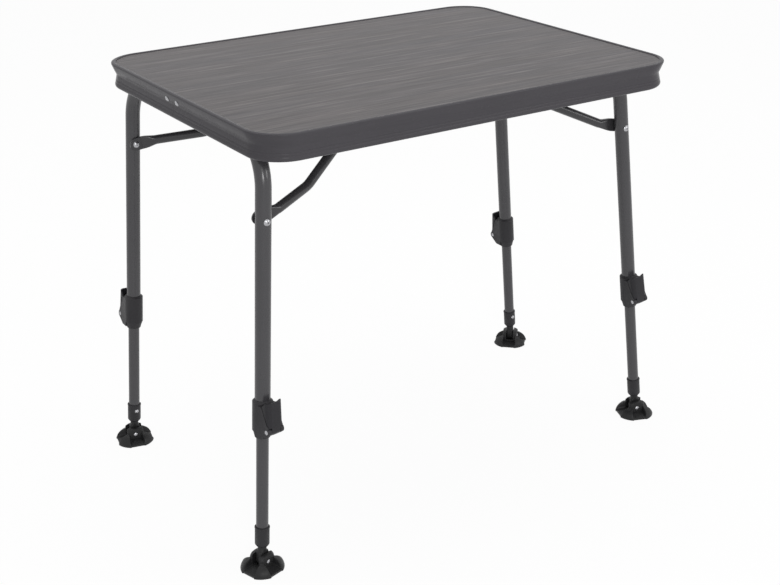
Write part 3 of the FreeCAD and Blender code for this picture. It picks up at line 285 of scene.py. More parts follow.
class Finish:
    """A material under construction: its nodes, its links and its shader."""

    def __init__(self, name, metallic, specular):
        self.material = bpy.data.materials.new(name)
        self.material.use_nodes = True
        self.tree = self.material.node_tree
        self.shader = self.tree.nodes["Principled BSDF"]
        self.shader.inputs["Metallic"].default_value = metallic
        self.shader.inputs["Specular IOR Level"].default_value = specular
        self.coordinates = node_in(self.tree, "ShaderNodeTexCoord").outputs["Object"]

    def link(self, start, end):
        """Joins an output to an input."""
        self.tree.links.new(start, end)

    def noise(self, scale, detail=3.0, rough=0.55, vector=None):
        """Layered noise with a scale in repeats per metre."""
        node = node_in(self.tree, "ShaderNodeTexNoise")
        for socket, value in (("Scale", scale), ("Detail", detail), ("Roughness", rough)):
            node.inputs[socket].default_value = value
        self.link(self.coordinates if vector is None else vector, node.inputs["Vector"])
        return node.outputs["Fac"]

    def streaks(self, scale, detail, rough):
        """Noise on coordinates times a scale of its own for each axis, in repeats per metre."""
        mapping = node_in(self.tree, "ShaderNodeMapping")
        mapping.inputs["Scale"].default_value = scale
        self.link(self.coordinates, mapping.inputs["Vector"])
        return self.noise(1.0, detail, rough, mapping.outputs["Vector"])

    def ramp(self, factor, stops):
        """Colours at positions from 0 to 1, and a straight blend from each to the next."""
        node = node_in(self.tree, "ShaderNodeValToRGB")
        while len(node.color_ramp.elements) < len(stops):
            node.color_ramp.elements.new(0.5)
        for element, (position, colour) in zip(node.color_ramp.elements, stops):
            element.position = position
            element.color = colour
        self.link(factor, node.inputs["Fac"])
        return node.outputs["Color"]

    def span(self, factor, low, high):
        """Noise between its usual ends, spread in proportion from low to high."""
        node = node_in(self.tree, "ShaderNodeMapRange")
        limits = {"From Min": NOISE_LOW, "From Max": NOISE_HIGH, "To Min": low, "To Max": high}
        for socket, value in limits.items():
            node.inputs[socket].default_value = value
        self.link(factor, node.inputs["Value"])
        return node.outputs["Result"]

    def mix(self, share, first, second):
        """The first colour with a share of the second in it."""
        node = node_in(self.tree, "ShaderNodeMix", data_type="RGBA")
        node.inputs["Factor"].default_value = share
        self.link(first, node.inputs["A"])
        self.link(second, node.inputs["B"])
        return node.outputs["Result"]

    def colour(self, socket):
        """Gives the shader its colour."""
        self.link(socket, self.shader.inputs["Base Color"])

    def roughness(self, socket):
        """Gives the shader its roughness."""
        self.link(socket, self.shader.inputs["Roughness"])

    def bump(self, height, strength, depth):
        """Surface relief from a height, in metres of depth."""
        node = node_in(self.tree, "ShaderNodeBump")
        node.inputs["Strength"].default_value = strength
        node.inputs["Distance"].default_value = depth
        self.link(height, node.inputs["Height"])
        self.link(node.outputs["Normal"], self.shader.inputs["Normal"])


print("node helpers ready")

# %% [markdown]
# ## Coats, mouldings and metal
# Each finish adds what the real surface has: a coat with a faint orange peel, a moulding with a fine
# grain, a metal with brushed streaks. The rim's coat is the dullest: its sides are seen at a flat
# angle, at which a glossier coat would mirror the white room.

# %% Coated metal, mouldings, plated steel
def coated_metal(name, colour, streaks, shine):
    """Satin grey coat: slow drift of tone, short streaks along the tube, and a faint peel."""
    finish = Finish(name, metallic=0.0, specular=shine)
    drift = finish.ramp(finish.noise(scale=9.0),
                        [(0.3, shade(colour, 0.94)), (0.7, shade(colour, 1.06))])
    lines = finish.ramp(finish.streaks(streaks, detail=4.0, rough=0.6),
                        [(0.3, shade(colour, 0.92)), (0.7, shade(colour, 1.07))])
    finish.colour(finish.mix(0.5, drift, lines))
    peel = finish.noise(scale=900.0, detail=2.0)
    finish.roughness(finish.span(finish.noise(scale=60.0), low=0.2, high=0.3))
    finish.bump(peel, strength=0.25, depth=0.00006)
    return finish.material


def moulded_plastic(name, colour, rough):
    """Moulded plastic: a fine spark-eroded grain, and tone that drifts a little."""
    finish = Finish(name, metallic=0.0, specular=0.3)
    drift = finish.noise(scale=26.0, detail=4.0)
    finish.colour(finish.ramp(drift, [(0.28, shade(colour, 0.86)), (0.72, shade(colour, 1.13))]))
    grain = finish.noise(scale=1600.0, detail=2.0)
    finish.roughness(finish.span(finish.noise(scale=240.0), low=rough - 0.07, high=rough + 0.07))
    finish.bump(grain, strength=0.3, depth=0.00008)
    return finish.material


def bright_metal(name, colour, rough, streaks):
    """Plated steel: metal with brushed lines in its tone and gloss."""
    finish = Finish(name, metallic=1.0, specular=0.5)
    lines = finish.streaks(streaks, detail=3.0, rough=0.6)
    finish.colour(finish.ramp(lines, [(0.25, shade(colour, 0.86)), (0.75, shade(colour, 1.06))]))
    finish.roughness(finish.span(lines, low=rough - 0.05, high=rough + 0.08))
    finish.bump(lines, strength=0.12, depth=0.00004)
    return finish.material


RIM_GREY = linear(85, 83, 87)
TUBE_GREY = linear(71, 70, 73)
# The braces' grey is the tubes' grey darkened by a fifth: painted shade for their place under the
# board.
BRACE_SHADED_GREY = shade(TUBE_GREY, 0.8)
rim_coat = coated_metal("rim_coat", RIM_GREY, streaks=(14.0, 14.0, 700.0), shine=0.05)
tube_coat = coated_metal("tube_coat", TUBE_GREY, streaks=(420.0, 420.0, 12.0), shine=0.5)
shaded_brace_coat = coated_metal("shaded_brace_coat", BRACE_SHADED_GREY, streaks=(30.0, 300.0, 420.0), shine=0.4)
clamp_plastic = moulded_plastic("clamp_plastic", linear(47, 46, 49), rough=0.5)
lever_plastic = moulded_plastic("lever_plastic", linear(39, 38, 42), rough=0.48)
foot_plastic = moulded_plastic("foot_plastic", linear(34, 34, 35), rough=0.46)
bush_plastic = moulded_plastic("bush_plastic", linear(40, 40, 40), rough=0.5)
rivet_metal = bright_metal("rivet_metal", linear(176, 176, 179), rough=0.3,
                           streaks=(300.0, 300.0, 300.0))
strip_steel = bright_metal("strip_steel", linear(150, 150, 152), rough=0.4,
                           streaks=(40.0, 600.0, 600.0))
print("finishes", len(bpy.data.materials))

# %% [markdown]
# ## The laminate's grain
# The board's face is a grey printed wood grain that runs along the table. A picture of wood could be
# laid on it. Very stretched noise gives such lines without one, and they never repeat: a metre holds
# few repeats along X and many across it. A slow layer tints some bands warmer and some cooler, a
# middle one makes the visible streaks, and a fine one adds the dark pores, which are also pressed
# into the surface.

# %% Grain of the board
def grey_laminate():
    """Tint and streaks mixed into one grain, and the fine pores mixed into that."""
    finish = Finish("grey_laminate", metallic=0.0, specular=0.25)
    bands = finish.streaks((1.4, 24.0, 24.0), detail=3.0, rough=0.6)
    streaks = finish.streaks((5.0, 130.0, 130.0), detail=5.0, rough=0.65)
    pores = finish.streaks((10.0, 480.0, 480.0), detail=3.0, rough=0.7)
    tint = finish.ramp(bands, [(0.36, linear(82, 81, 88)), (0.5, linear(92, 88, 89)),
                               (0.62, linear(98, 91, 89))])
    lines = finish.ramp(streaks, [(0.37, linear(20, 19, 21)), (0.46, linear(66, 63, 65)),
                                  (0.55, linear(90, 86, 88)), (0.65, linear(146, 141, 140))])
    fine = finish.ramp(pores, [(0.38, linear(44, 42, 44)), (0.5, linear(90, 86, 88)),
                               (0.62, linear(120, 115, 115))])
    finish.colour(finish.mix(0.36, finish.mix(0.64, tint, lines), fine))
    finish.roughness(finish.span(streaks, low=0.4, high=0.54))
    finish.bump(pores, strength=0.3, depth=0.0002)
    return finish.material


laminate = grey_laminate()
print("laminate nodes", len(laminate.node_tree.nodes))

# %% [markdown]
# ## The rim
# The real rim is one aluminium extrusion, bent round four corners, with its ends meeting in a short
# side. A box with rounded corners would give its outline, but not what runs along it. So it is made
# as the real one is: a section, with its lip, waist, two grooves and rolled foot, carried round the
# outline. The outline starts and stops at the seam, and the two end faces are filled.

# %% The outline and the rim
rim_low, rim_high = (np.array(corner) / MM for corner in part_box("edge_frame"))
TOP_MIDDLE = (rim_low + rim_high) / 2
TOP_Z = rim_high[2]
HALF_LENGTH, HALF_WIDTH = (rim_high - rim_low)[:2] / 2
CORNER_RADIUS, CORNER_STEPS = 65.0, 28
SEAM_Y, SEAM_GAP = 14.0, 0.3
UP = np.array([0.0, 0.0, 1.0])


def outline(gap):
    """The top's outline from the seam round to the seam, clockwise from above."""
    left, right = TOP_MIDDLE[0] - HALF_LENGTH, TOP_MIDDLE[0] + HALF_LENGTH
    corners = [(left, SEAM_Y + gap / 2), (left, HALF_WIDTH), (right, HALF_WIDTH),
               (right, -HALF_WIDTH), (left, -HALF_WIDTH), (left, SEAM_Y - gap / 2)]
    points = [(x, y, TOP_Z) for x, y in corners]
    return bent_path(points, [CORNER_RADIUS] * 4, CORNER_STEPS)


def rim_section():
    """Closed section as (inset from the outline, drop from the crown)."""
    crown = arc_points((8.0, 0.75), (4.0, 0.0), (0.35, 1.1), 10)
    nose = arc_points((0.35, 1.1), (0.0, 2.0), (0.0, 3.2), 5)
    waist = arc_points((5.4, 17.0), (6.85, 20.0), (7.3, 23.0), 8)
    grooves = [[5.9, 29.1], [6.15, 30.0], [5.47, 30.9], [4.95, 33.4], [5.1, 34.4], [4.43, 35.4]]
    bead = arc_points((3.6, 39.0), (5.06, 42.54), (8.6, 44.0), 9)
    bead_end = [[9.6, 44.0], [9.6, 42.2]]
    inner_bead = arc_points((8.6, 42.2), (6.34, 41.26), (5.4, 39.0), 6)
    inner = [[9.1, 23.0], [7.33, 17.0], [5.38, 12.0], [18.0, 12.0], [18.0, 10.5], [4.79, 10.5],
             [1.93, 3.2], [1.93, 2.2]]
    return np.vstack([[[8.0, 2.2]], crown, nose[1:], waist, grooves, bead, bead_end, inner_bead,
                      inner])


def on_outline(section, gap):
    """Section carried round: inset to the right of travel, which is inwards, and drop downwards."""
    places, ways = outline(gap)
    return carried(section * [1, -1], places, ways, UP)


rim = piece("rim", [(on_outline(rim_section(), SEAM_GAP), False, True)], "table_top",
            ["edge_frame"], "rim", rim_coat, fill=True, crease=30)
print("rim faces", len(rim.data.polygons))

# %% [markdown]
# ## The board
# The board lies in the rim's channel with only its face showing, a little below the lip's crown. Its
# edge is the same outline at a larger inset, so the two can't drift apart. From the last ring the
# flat face runs in to a spine along the middle, which keeps its quads clean.

# %% The board
BOARD_FACE, BOARD_UNDERSIDE, BOARD_RING = 1.5, 10.5, 30.0
BOARD_EDGE = np.array([(BOARD_RING, BOARD_UNDERSIDE), (5.2, BOARD_UNDERSIDE), (5.2, 2.35),
                       (8.3, 2.35), (8.3, 1.65), (8.45, BOARD_FACE), (BOARD_RING, BOARD_FACE)])


def board_surface():
    """Edge carried round, closed on both faces to the spine: x held to the middle, y = 0."""
    edge = on_outline(BOARD_EDGE, 0.0)[:-1]
    reach = HALF_LENGTH - HALF_WIDTH
    spine = edge[:, :1].copy()
    spine[..., 0] = TOP_MIDDLE[0] + np.clip(spine[..., 0] - TOP_MIDDLE[0], -reach, reach)
    spine[..., 1] = 0
    face = spine + [0, 0, BOARD_UNDERSIDE - BOARD_FACE]
    return np.concatenate([spine, edge, face], 1), True, False


board = piece("table_board", [board_surface()], "table_top", ["table_top_panel"], "laminate",
              laminate, crease=30)
print("board faces", len(board.data.polygons))

# %% [markdown]
# ## Splice rivets
# Two bright rivets hold the rim's ends to the strip behind the seam. A flattened ball would do from
# afar. A turned cap on a short flange also has the fine line round its edge. Each is set square to
# the sloping face between the rim's nose and its waist.

# %% Rivets of the splice
SPLICE_DROP, SPLICE_STEP = 15.0, 18.0
SLOPE_INSET, SLOPE_FALL, NOSE_DROP = 5.4, 13.8, 3.2
SPLICE_CAP, CAP_LIFT = dome(radius=4.6, crown=1.9, pit=1.7), 0.7
slope = np.array([SLOPE_INSET, SLOPE_FALL]) / math.hypot(SLOPE_INSET, SLOPE_FALL)
facing = np.array([-slope[1], 0.0, -slope[0]])
rivet_x = rim_low[0] + SLOPE_INSET * (SPLICE_DROP - NOSE_DROP) / SLOPE_FALL
SHANK_AND_FLANGE = np.array([(0.0, -3.3), (1.6, -3.3), (1.6, 0.0), (4.8, 0.0), (5.0, 0.4)])
head_profile = np.vstack([SHANK_AND_FLANGE, SPLICE_CAP + [0, CAP_LIFT]])
shells = [turned(head_profile, np.array([rivet_x, SEAM_Y + step, TOP_Z - SPLICE_DROP]), facing)
          for step in (-SPLICE_STEP, SPLICE_STEP)]
piece("splice_rivet_heads", shells, "table_top", ["splice_rivets"], "rivet", rivet_metal)
print("splice rivets", len(shells))

# %% [markdown]
# ## Legs
# Each pair of legs is one tube bent twice. Its line comes from the joints: the fold axis gives the
# cross tube, and each leg's slide gives its slant. A lower tube slides in each end. Bare skins would
# look the same from outside. Both are still pipes with a real wall, so that one goes in the other.

# %% Leg lines and tubes
SIDES = ("left", "right")
ENDS = {"front": -1, "back": 1}
UPPER_RADIUS, UPPER_BORE, BEND_RADIUS, BEND_STEPS = 12.5, 11.3, 75.0, 26
LOWER_RADIUS, LOWER_BORE = 10.0, 8.8
UPPER_END, LOWER_SEAT, LOWER_TOP = 233.1, 35.0, 299.0


def leg_line(side, end):
    """A leg's tilt-pin middle, its upward direction, and its crossing with the fold axis."""
    pin = place_of(f"{side}_{end}_foot_tilt")
    up = axis_of(f"{side}_{end}_leg_slide")
    fold = place_of(f"{side}_leg_fold")
    return pin, up, pin + up * (fold[2] - pin[2]) / up[2]


for side in SIDES:
    lines = [leg_line(side, end) for end in ENDS]
    low = [pin + up * UPPER_END for pin, up, _ in lines]
    high = [top for _, _, top in lines]
    places, ways = bent_path([low[0], *high, low[1]], [BEND_RADIUS] * 2, BEND_STEPS)
    piece(f"{side}_leg_tube", [pipe(places, ways, UPPER_RADIUS, UPPER_BORE)],
          f"{side}_leg_frame", [f"{side}_leg_frame"], "tube", tube_coat)
    for (pin, up, _), end in zip(lines, ENDS):
        places, ways = bent_path([pin + up * LOWER_SEAT, pin + up * LOWER_TOP], [])
        piece(f"{side}_{end}_inner_leg", [pipe(places, ways, LOWER_RADIUS, LOWER_BORE)],
              f"{side}_{end}_lower_leg", [f"{side}_{end}_lower_tube"], "tube", tube_coat)
print("leg tubes made")

# %% [markdown]
# ## Brace surfaces
# A brace is a round tube whose ends are pressed flat and riveted to the legs. One surface can do
# both: every cross-section is a superellipse, which is a circle at power two and nearly a slab at
# power seven. Width, thickness and power change along the arm, and the tip's width follows a
# half-circle, so the end comes out round.

# %% Arms, flattened ends and sections
PADDLE_RADIUS, PADDLE_HALF, PADDLE_LENGTH, LEG_GAP = 11.5, 1.5, 11.0, 0.6
PADDLE_SETBACK = UPPER_RADIUS + LEG_GAP + PADDLE_HALF
FLATTEN, TUBE_SHIFT, BRACE_RADIUS, BRACE_BEND, BRACE_STEPS = 26.0, 7.0, 8.0, 45.0, 22
TIP_STEPS, EASE_STEPS = 12, 17
SLAB_POWER, ROUND_POWER = 7.0, 2.0
CROSSBAR_HALF, CATCH_GAP = 95.0, 2.4
CROSSBAR_Z = TOP_Z - BOARD_UNDERSIDE - CATCH_GAP - BRACE_RADIUS
BRACES = {
    "left": {"inwards": 1, "reach": 297.0, "rise": 7.0, "knee": (113.0, 15.0, 48.0)},
    "right": {"inwards": -1, "reach": 281.0, "rise": 12.0, "knee": None},
}


def brace_arm(side, end):
    """An arm's paddle middle, its pointing direction and the corners of its tube."""
    shape = BRACES[side]
    pin, up, _ = leg_line(side, end)
    pivot = place_of(f"{side}_brace_swing")
    on_leg = pin + up * (pivot[2] - pin[2]) / up[2]
    paddle = on_leg - [0, ENDS[end] * PADDLE_SETBACK, 0]
    rise = math.radians(shape["rise"])
    along = np.array([shape["inwards"] * math.cos(rise), 0, math.sin(rise)])
    start = paddle + along * (PADDLE_LENGTH + FLATTEN) - [0, ENDS[end] * TUBE_SHIFT, 0]
    corners = [start]
    if shape["knee"]:
        reach, lift, inset = shape["knee"]
        corners.append(paddle + [shape["inwards"] * reach, -ENDS[end] * inset, lift])
    corners.append(np.array([pivot[0] + shape["inwards"] * shape["reach"],
                             ENDS[end] * CROSSBAR_HALF, CROSSBAR_Z]))
    return paddle, along, corners


def flattened_end(paddle, along, start, way):
    """Stations from the rounded tip to the round tube: places, ways, half sizes and power."""
    angle = np.linspace(0, np.pi / 2, TIP_STEPS)
    tip = -PADDLE_RADIUS * np.cos(angle)
    step = np.linspace(0, 1, EASE_STEPS + 1)[1:]
    ease = smooth_step(step)
    neck = paddle + along * PADDLE_LENGTH
    places = np.vstack([paddle + tip[:, None] * along, [neck],
                        neck + step[:, None] * (start - neck)])
    flat = np.ones(TIP_STEPS + 1)
    ways = np.vstack([flat[:, None] * along, unit(along + ease[:, None] * (way - along))])
    width = np.concatenate([PADDLE_RADIUS * np.sin(angle), [PADDLE_RADIUS],
                            PADDLE_RADIUS + ease * (BRACE_RADIUS - PADDLE_RADIUS)])
    thick = np.concatenate([flat * PADDLE_HALF, PADDLE_HALF + step * (BRACE_RADIUS - PADDLE_HALF)])
    power = np.concatenate([flat * SLAB_POWER, SLAB_POWER - (SLAB_POWER - ROUND_POWER) * ease])
    return places, ways, width, thick, power


def superellipse(width, thick, power, count=40):
    """Sections: thick sgn(cos) |cos|^(2/p) across the slab, width sgn(sin) |sin|^(2/p) along it."""
    angle = np.linspace(0, 2 * np.pi, count, endpoint=False)[None]
    bend = 2 / power[:, None]
    across = thick[:, None] * np.sign(np.cos(angle)) * np.abs(np.cos(angle)) ** bend
    along = width[:, None] * np.sign(np.sin(angle)) * np.abs(np.sin(angle)) ** bend
    return np.stack([across, along], -1)


print("brace arms", [len(brace_arm(side, "front")[2]) for side in BRACES], "corners each")

# %% [markdown]
# ## Braces and their rivets
# Both arms and the crossbar between them are one tube, so the stations of the two flattened ends and
# of the bent middle are put in one row before the surface is made. A rivet with two domed heads goes
# through each leg and paddle.

# %% Braces and rivets
BRACE_CAP = dome(radius=5.75, crown=2.6, pit=1.8)
SHANK_RADIUS, OUTER_LIFT, INNER_LIFT = 2.5, 0.23, 0.15


def brace_surface(arms):
    """Superellipse sections carried along flattened end, bent tube and flattened end."""
    corners = arms[0][2] + arms[1][2][::-1]
    places, ways = bent_path(corners, [BRACE_BEND] * (len(corners) - 2), BRACE_STEPS)
    head, foot = (flattened_end(paddle, along, line[0], way)
                  for (paddle, along, line), way in zip(arms, (ways[0], -ways[-1])))
    tail = [foot[0][::-1], -foot[1][::-1]] + [part[::-1] for part in foot[2:]]
    tube = np.ones(len(places) - 2)
    middle = [places[1:-1], ways[1:-1], tube * BRACE_RADIUS, tube * BRACE_RADIUS, tube * ROUND_POWER]
    path, heading, width, thick, power = map(np.concatenate, zip(head, middle, tail))
    return carried(superellipse(width, thick, power), path, heading, UP), False, True


def brace_rivet(paddle, out):
    """A shank from the paddle's inner face to the leg's outer side, domed at both ends."""
    outer = paddle + out * (PADDLE_SETBACK + UPPER_RADIUS + OUTER_LIFT)
    inner = paddle - out * (PADDLE_HALF + INNER_LIFT)
    span = np.linalg.norm(outer - inner)
    shank = np.array([(SHANK_RADIUS, 0), (SHANK_RADIUS, span)])
    profile = np.vstack([(BRACE_CAP * [1, -1])[::-1], shank, BRACE_CAP + [0, span]])
    return turned(profile, inner, out)


for side in BRACES:
    arms = [brace_arm(side, end) for end in ENDS]
    piece(f"{side}_brace_tube", [brace_surface(arms)], f"{side}_brace", [f"{side}_brace"], "tube",
          shaded_brace_coat)
    heads = [brace_rivet(arm[0], np.array([0, ENDS[end], 0])) for arm, end in zip(arms, ENDS)]
    piece(f"{side}_leg_rivets", heads, f"{side}_leg_frame", [f"{side}_brace_rivets"], "rivet",
          rivet_metal)
print("braces made")

# %% [markdown]
# ## The foot
# The foot is a round cap with four lobes. Its bays could be cut out with Booleans, which leave untidy
# faces and hard edges. Instead its skirt is a height over the ground: a domed profile in the lobes, a
# sloping floor in the bays between them, and a soft step from one to the other. Two flat-sided
# cheeks stand in the middle and hold the pin on which the foot tilts.

# %% Foot surfaces
FOOT_RADIUS, HUB_FLAT, HUB_WALL, SLOT_HALF, SLOT_Z, BOWL_Z = 36.0, 15.0, 18.6, 7.35, 11.5, 7.4
BAY_INNER, BAY_OUTER, BAY_END, BAY_EDGE = 9.5, 14.0, 39.0, 32.0
BAY_HIGH, BAY_LOW = 9.0, 2.5
EDGE_START, EDGE_EASE = 12.2, 1.6
STEP_START, STEP_EASE = 0.6, 3.0
SKIRT_COLUMNS, SKIRT_ROWS, CHEEK_ARC, CHEEK_CHORD = 288, 30, 57, 10
SOLE = np.array([(1.2, 0.0), (0.3, 0.4), (0.0, 1.2)])
BOWL = np.array([(10.0, SLOT_Z), (9.4, BOWL_Z), (0.0, BOWL_Z)])
WALL_LAP = 0.1
LOBE_CURVE = np.vstack([[[36.4, 2.4]], arc_points((36.0, 3.0), (31.0, 13.0), (22.0, 19.0), 16),
                        [[19.5, 20.5], [0.0, 20.6]]])
HUB_CURVE = np.vstack([[[19.5, 6.0]], arc_points((19.5, 20.5), (17.7, 27.0), (12.5, 29.9), 14),
                       [[11.0, 30.0]]])


def skirt_surface():
    """Skirt height on a polar grid: bay floor + soft step across the bay's edge * (lobe - floor)."""
    angle = np.linspace(0, 2 * np.pi, SKIRT_COLUMNS, endpoint=False)
    off = (angle + np.pi / 4) % (np.pi / 2) - np.pi / 4
    flat_edge = BAY_EDGE / np.cos(off)
    in_lobe = smooth_step((FOOT_RADIUS * np.abs(np.sin(off)) - EDGE_START) / EDGE_EASE)
    edge = flat_edge + (FOOT_RADIUS - flat_edge) * in_lobe
    wall = np.minimum(HUB_FLAT / np.cos(off), HUB_WALL)
    radius = edge + np.linspace(0, 1, SKIRT_ROWS)[:, None] * (wall - edge)
    x, y = radius * np.cos(off), np.abs(radius * np.sin(off))
    share = (x - HUB_FLAT) / (BAY_END - HUB_FLAT)
    floor = BAY_HIGH + share * (BAY_LOW - BAY_HIGH)
    lobe = np.interp(radius, LOBE_CURVE[::-1, 0], LOBE_CURVE[::-1, 1])
    bay_side = BAY_INNER + share * (BAY_OUTER - BAY_INNER)
    height = floor + smooth_step((y - bay_side + STEP_START) / STEP_EASE) * (lobe - floor)
    ones = np.ones_like(angle)
    r = np.vstack([0 * ones, edge - SOLE[:, :1], radius, wall - WALL_LAP, BOWL[:, :1] * ones])
    z = np.vstack([0 * ones, SOLE[:, 1:] * ones, height, SLOT_Z * ones, BOWL[:, 1:] * ones])
    return np.stack([r * np.cos(angle), r * np.sin(angle), z], -1), False, True


def cheek_surface(sign):
    """Half of the hub beyond the slot: at each height a circle cut by three flats, and a chord."""
    radius, height = HUB_CURVE[:, :1], HUB_CURVE[:, 1:]
    half = np.minimum(np.sqrt(radius ** 2 - SLOT_HALF ** 2), HUB_FLAT)
    turn = np.arctan2(half, SLOT_HALF) * np.linspace(-1, 1, CHEEK_ARC)[None]
    sides = np.maximum(np.abs(np.sin(turn)), np.cos(turn))
    outer = np.minimum(radius, HUB_FLAT / sides)
    arc = np.stack([outer * np.sin(turn), outer * np.cos(turn)], -1)
    back = half * np.linspace(1, -1, CHEEK_CHORD + 2)[None, 1:-1]
    chord = np.stack([back, np.full_like(back, SLOT_HALF)], -1)
    flat = np.concatenate([arc, chord], 1)
    grid = np.stack([flat[..., 0], sign * flat[..., 1], height + 0 * flat[..., 0]], -1)
    middle = np.broadcast_to(grid.mean(1, keepdims=True), grid.shape)
    return np.concatenate([middle[:1], grid, middle[-1:]]), False, True


FOOT_SHELLS = [skirt_surface(), cheek_surface(1), cheek_surface(-1)]
print("foot grids", [shell[0].shape[:2] for shell in FOOT_SHELLS])

# %% [markdown]
# ## Sockets and necks
# A socket is a turned sleeve on the end of a lower tube, held by a rivet. A neck joins it to the
# foot: a slab round the foot's pin that becomes a round shank in the socket. A block joined to a
# cylinder would show a hard step there. A stack of superellipses, the brace's sections once more,
# goes from one to the other.

# %% Sockets and necks
SOCKET = [(5.15, 25.0), (8.0, 25.0), (9.6, 25.4), (11.2, 27.6), (12.0, 29.2), (12.0, 57.4),
          (12.5, 57.9), (12.5, 59.4), (11.9, 60.0), (10.05, 60.0), (10.05, 35.0), (5.15, 35.0)]
SOCKET_RADIUS, SOCKET_RIVET_UP = 12.0, 48.5
SOCKET_RIVET = np.vstack([[(0, -4.4), (2.0, -4.4), (2.0, 0.0)], dome(radius=3.75, crown=1.8)])
PIN_SIDES, NECK_SIDES = 32, 48
# Stations of the neck: height over the pin, half width, half thickness, power.
NECK_STATIONS = np.array([(-9.0, 0.0, 0.0, 6.0), (-9.0, 0.6, 6.4, 6.0), (-8.6, 2.6, 6.75, 8.0),
                          (-7.4, 5.1, 6.75, 9.0), (-5.0, 7.5, 6.75, 9.0), (-2.0, 8.75, 6.75, 9.0),
                          (0.0, 9.0, 6.75, 9.0), (8.0, 9.0, 6.75, 8.0), (14.6, 9.0, 6.75, 7.0),
                          (16.2, 8.6, 6.75, 5.0), (17.0, 7.5, 6.9, 3.0), (18.0, 7.25, 7.25, 2.0),
                          (24.6, 7.25, 7.25, 2.0), (24.7, 5.0, 5.0, 2.0), (35.3, 5.0, 5.0, 2.0),
                          (35.3, 6.5, 6.5, 2.0), (38.3, 6.5, 6.5, 2.0), (38.3, 0.0, 0.0, 2.0)])


def dress_socket(corner, pin, up, outward):
    """The sleeve on the lower tube, and the rivet's head on the side that faces the other leg."""
    piece(f"{corner}_socket_sleeve", [turned(SOCKET, pin, up, close=True)], f"{corner}_lower_leg",
          [f"{corner}_foot_socket"], "clamp", clamp_plastic)
    seat = pin + up * SOCKET_RIVET_UP - outward * SOCKET_RADIUS
    piece(f"{corner}_socket_stud", [turned(SOCKET_RIVET, seat, -outward, PIN_SIDES)],
          f"{corner}_lower_leg", [f"{corner}_socket_rivet"], "rivet", rivet_metal)


def dress_neck(corner, pin, up, tilt):
    """Superellipses stacked along the leg: pin + height * up + a * thick way + b * across."""
    across = unit(np.cross(tilt, up))
    height, width, thick, power = NECK_STATIONS.T
    sections = superellipse(width, thick, power, NECK_SIDES)
    thick_way = np.cross(up, across)
    stem = (pin + height[:, None, None] * up + sections[..., :1] * thick_way
            + sections[..., 1:] * across)
    piece(f"{corner}_neck", [(stem, False, True)], f"{corner}_swivel_neck",
          [f"{corner}_swivel_neck"], "foot", foot_plastic, crease=45)


print("neck stations", len(NECK_STATIONS))

# %% [markdown]
# ## All four corners
# One corner could be mirrored to the others, but a mirror turns faces inside out, and the legs of the
# two pairs slant differently. The joints say where each corner's pin is and how its leg and its tilt
# axis lie, so one loop dresses all four. Each foot is turned about the vertical, so that its slot is
# square to the axis of its tilt.

# %% Feet and pins, and the loop over the corners
PIN_HALF, PIN_RADIUS = 15.0, 2.5
PIN_CAP = dome(radius=4.0, crown=1.2)
PIN_PROFILE = np.vstack([PIN_CAP[::-1] * [1, -1] - [0, PIN_HALF],
                         [(PIN_RADIUS, -PIN_HALF), (PIN_RADIUS, PIN_HALF)], PIN_CAP + [0, PIN_HALF]])


def turned_about(grid, angle, origin):
    """A grid turned and moved: x cos(a) - y sin(a), x sin(a) + y cos(a), z, plus the origin."""
    turn = np.array([[math.cos(angle), -math.sin(angle), 0], [math.sin(angle), math.cos(angle), 0],
                     [0, 0, 1]])
    return grid @ turn.T + origin


def dress_foot(corner, pin, tilt):
    """The lobed foot under the pin, and the pin itself."""
    angle = math.atan2(tilt[1], tilt[0]) - math.pi / 2
    ground = pin * [1, 1, 0]
    shells = [(turned_about(grid, angle, ground), rows, columns)
              for grid, rows, columns in FOOT_SHELLS]
    piece(f"{corner}_lobed_foot", shells, f"{corner}_foot", [f"{corner}_foot"], "foot", foot_plastic)
    piece(f"{corner}_foot_pin", [turned(PIN_PROFILE, pin, tilt, PIN_SIDES)], f"{corner}_foot",
          [f"{corner}_tilt_pin"], "rivet", rivet_metal)


for side in SIDES:
    for end in ENDS:
        corner = f"{side}_{end}"
        pin, up, _ = leg_line(side, end)
        tilt = axis_of(f"{corner}_foot_tilt")
        outward = unit(np.array([0, ENDS[end], 0]) - up * up[1] * ENDS[end])
        dress_socket(corner, pin, up, outward)
        dress_neck(corner, pin, up, tilt)
        dress_foot(corner, pin, tilt)
print("corners dressed", len(SIDES) * len(ENDS))

# %% [markdown]
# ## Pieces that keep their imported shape
# The clamps and the fittings under the board are right as they are, so they keep their shape. Each is
# copied, its facets are welded at the corners they share, and it is shaded smoothly except across
# real edges.

# %% Smooth copies by kind of node
KEPT = {
    "clamp_collar": clamp_plastic, "clamp_lever": lever_plastic, "lever_pin": rivet_metal,
    "glide_bush": bush_plastic, "hook_saddle": strip_steel, "brace_catch": strip_steel,
    "splice_plate": strip_steel, "saddle_screws": rivet_metal, "catch_screws": rivet_metal,
}
SLOTS = {part["node"]: part["material_slot"] for part in frame["record"]["subparts"]}


def facets(mesh):
    """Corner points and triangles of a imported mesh, as arrays."""
    points = np.empty(3 * len(mesh.vertices))
    corners = np.empty(len(mesh.loops), int)
    mesh.vertices.foreach_get("co", points)
    mesh.loops.foreach_get("vertex_index", corners)
    return points.reshape(-1, 3), corners.reshape(-1, 3)


kept = {name: material for name in SLOTS for kind, material in KEPT.items() if name.endswith(kind)}
for name, material in kept.items():
    node = frame["nodes"][name]
    dressed(f"{name}_shaded", *facets(node.data), node["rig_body"], [name], SLOTS[name], material,
            crease=34)
print("smooth copies", len(kept))

# %% [markdown]
# ## Camera
# A camera can be set by eye, but straight edges say more: the place, turn and lens were solved from
# the table's own edges in the photograph. The three axes are written out from those angles, so that
# the small roll is not lost.

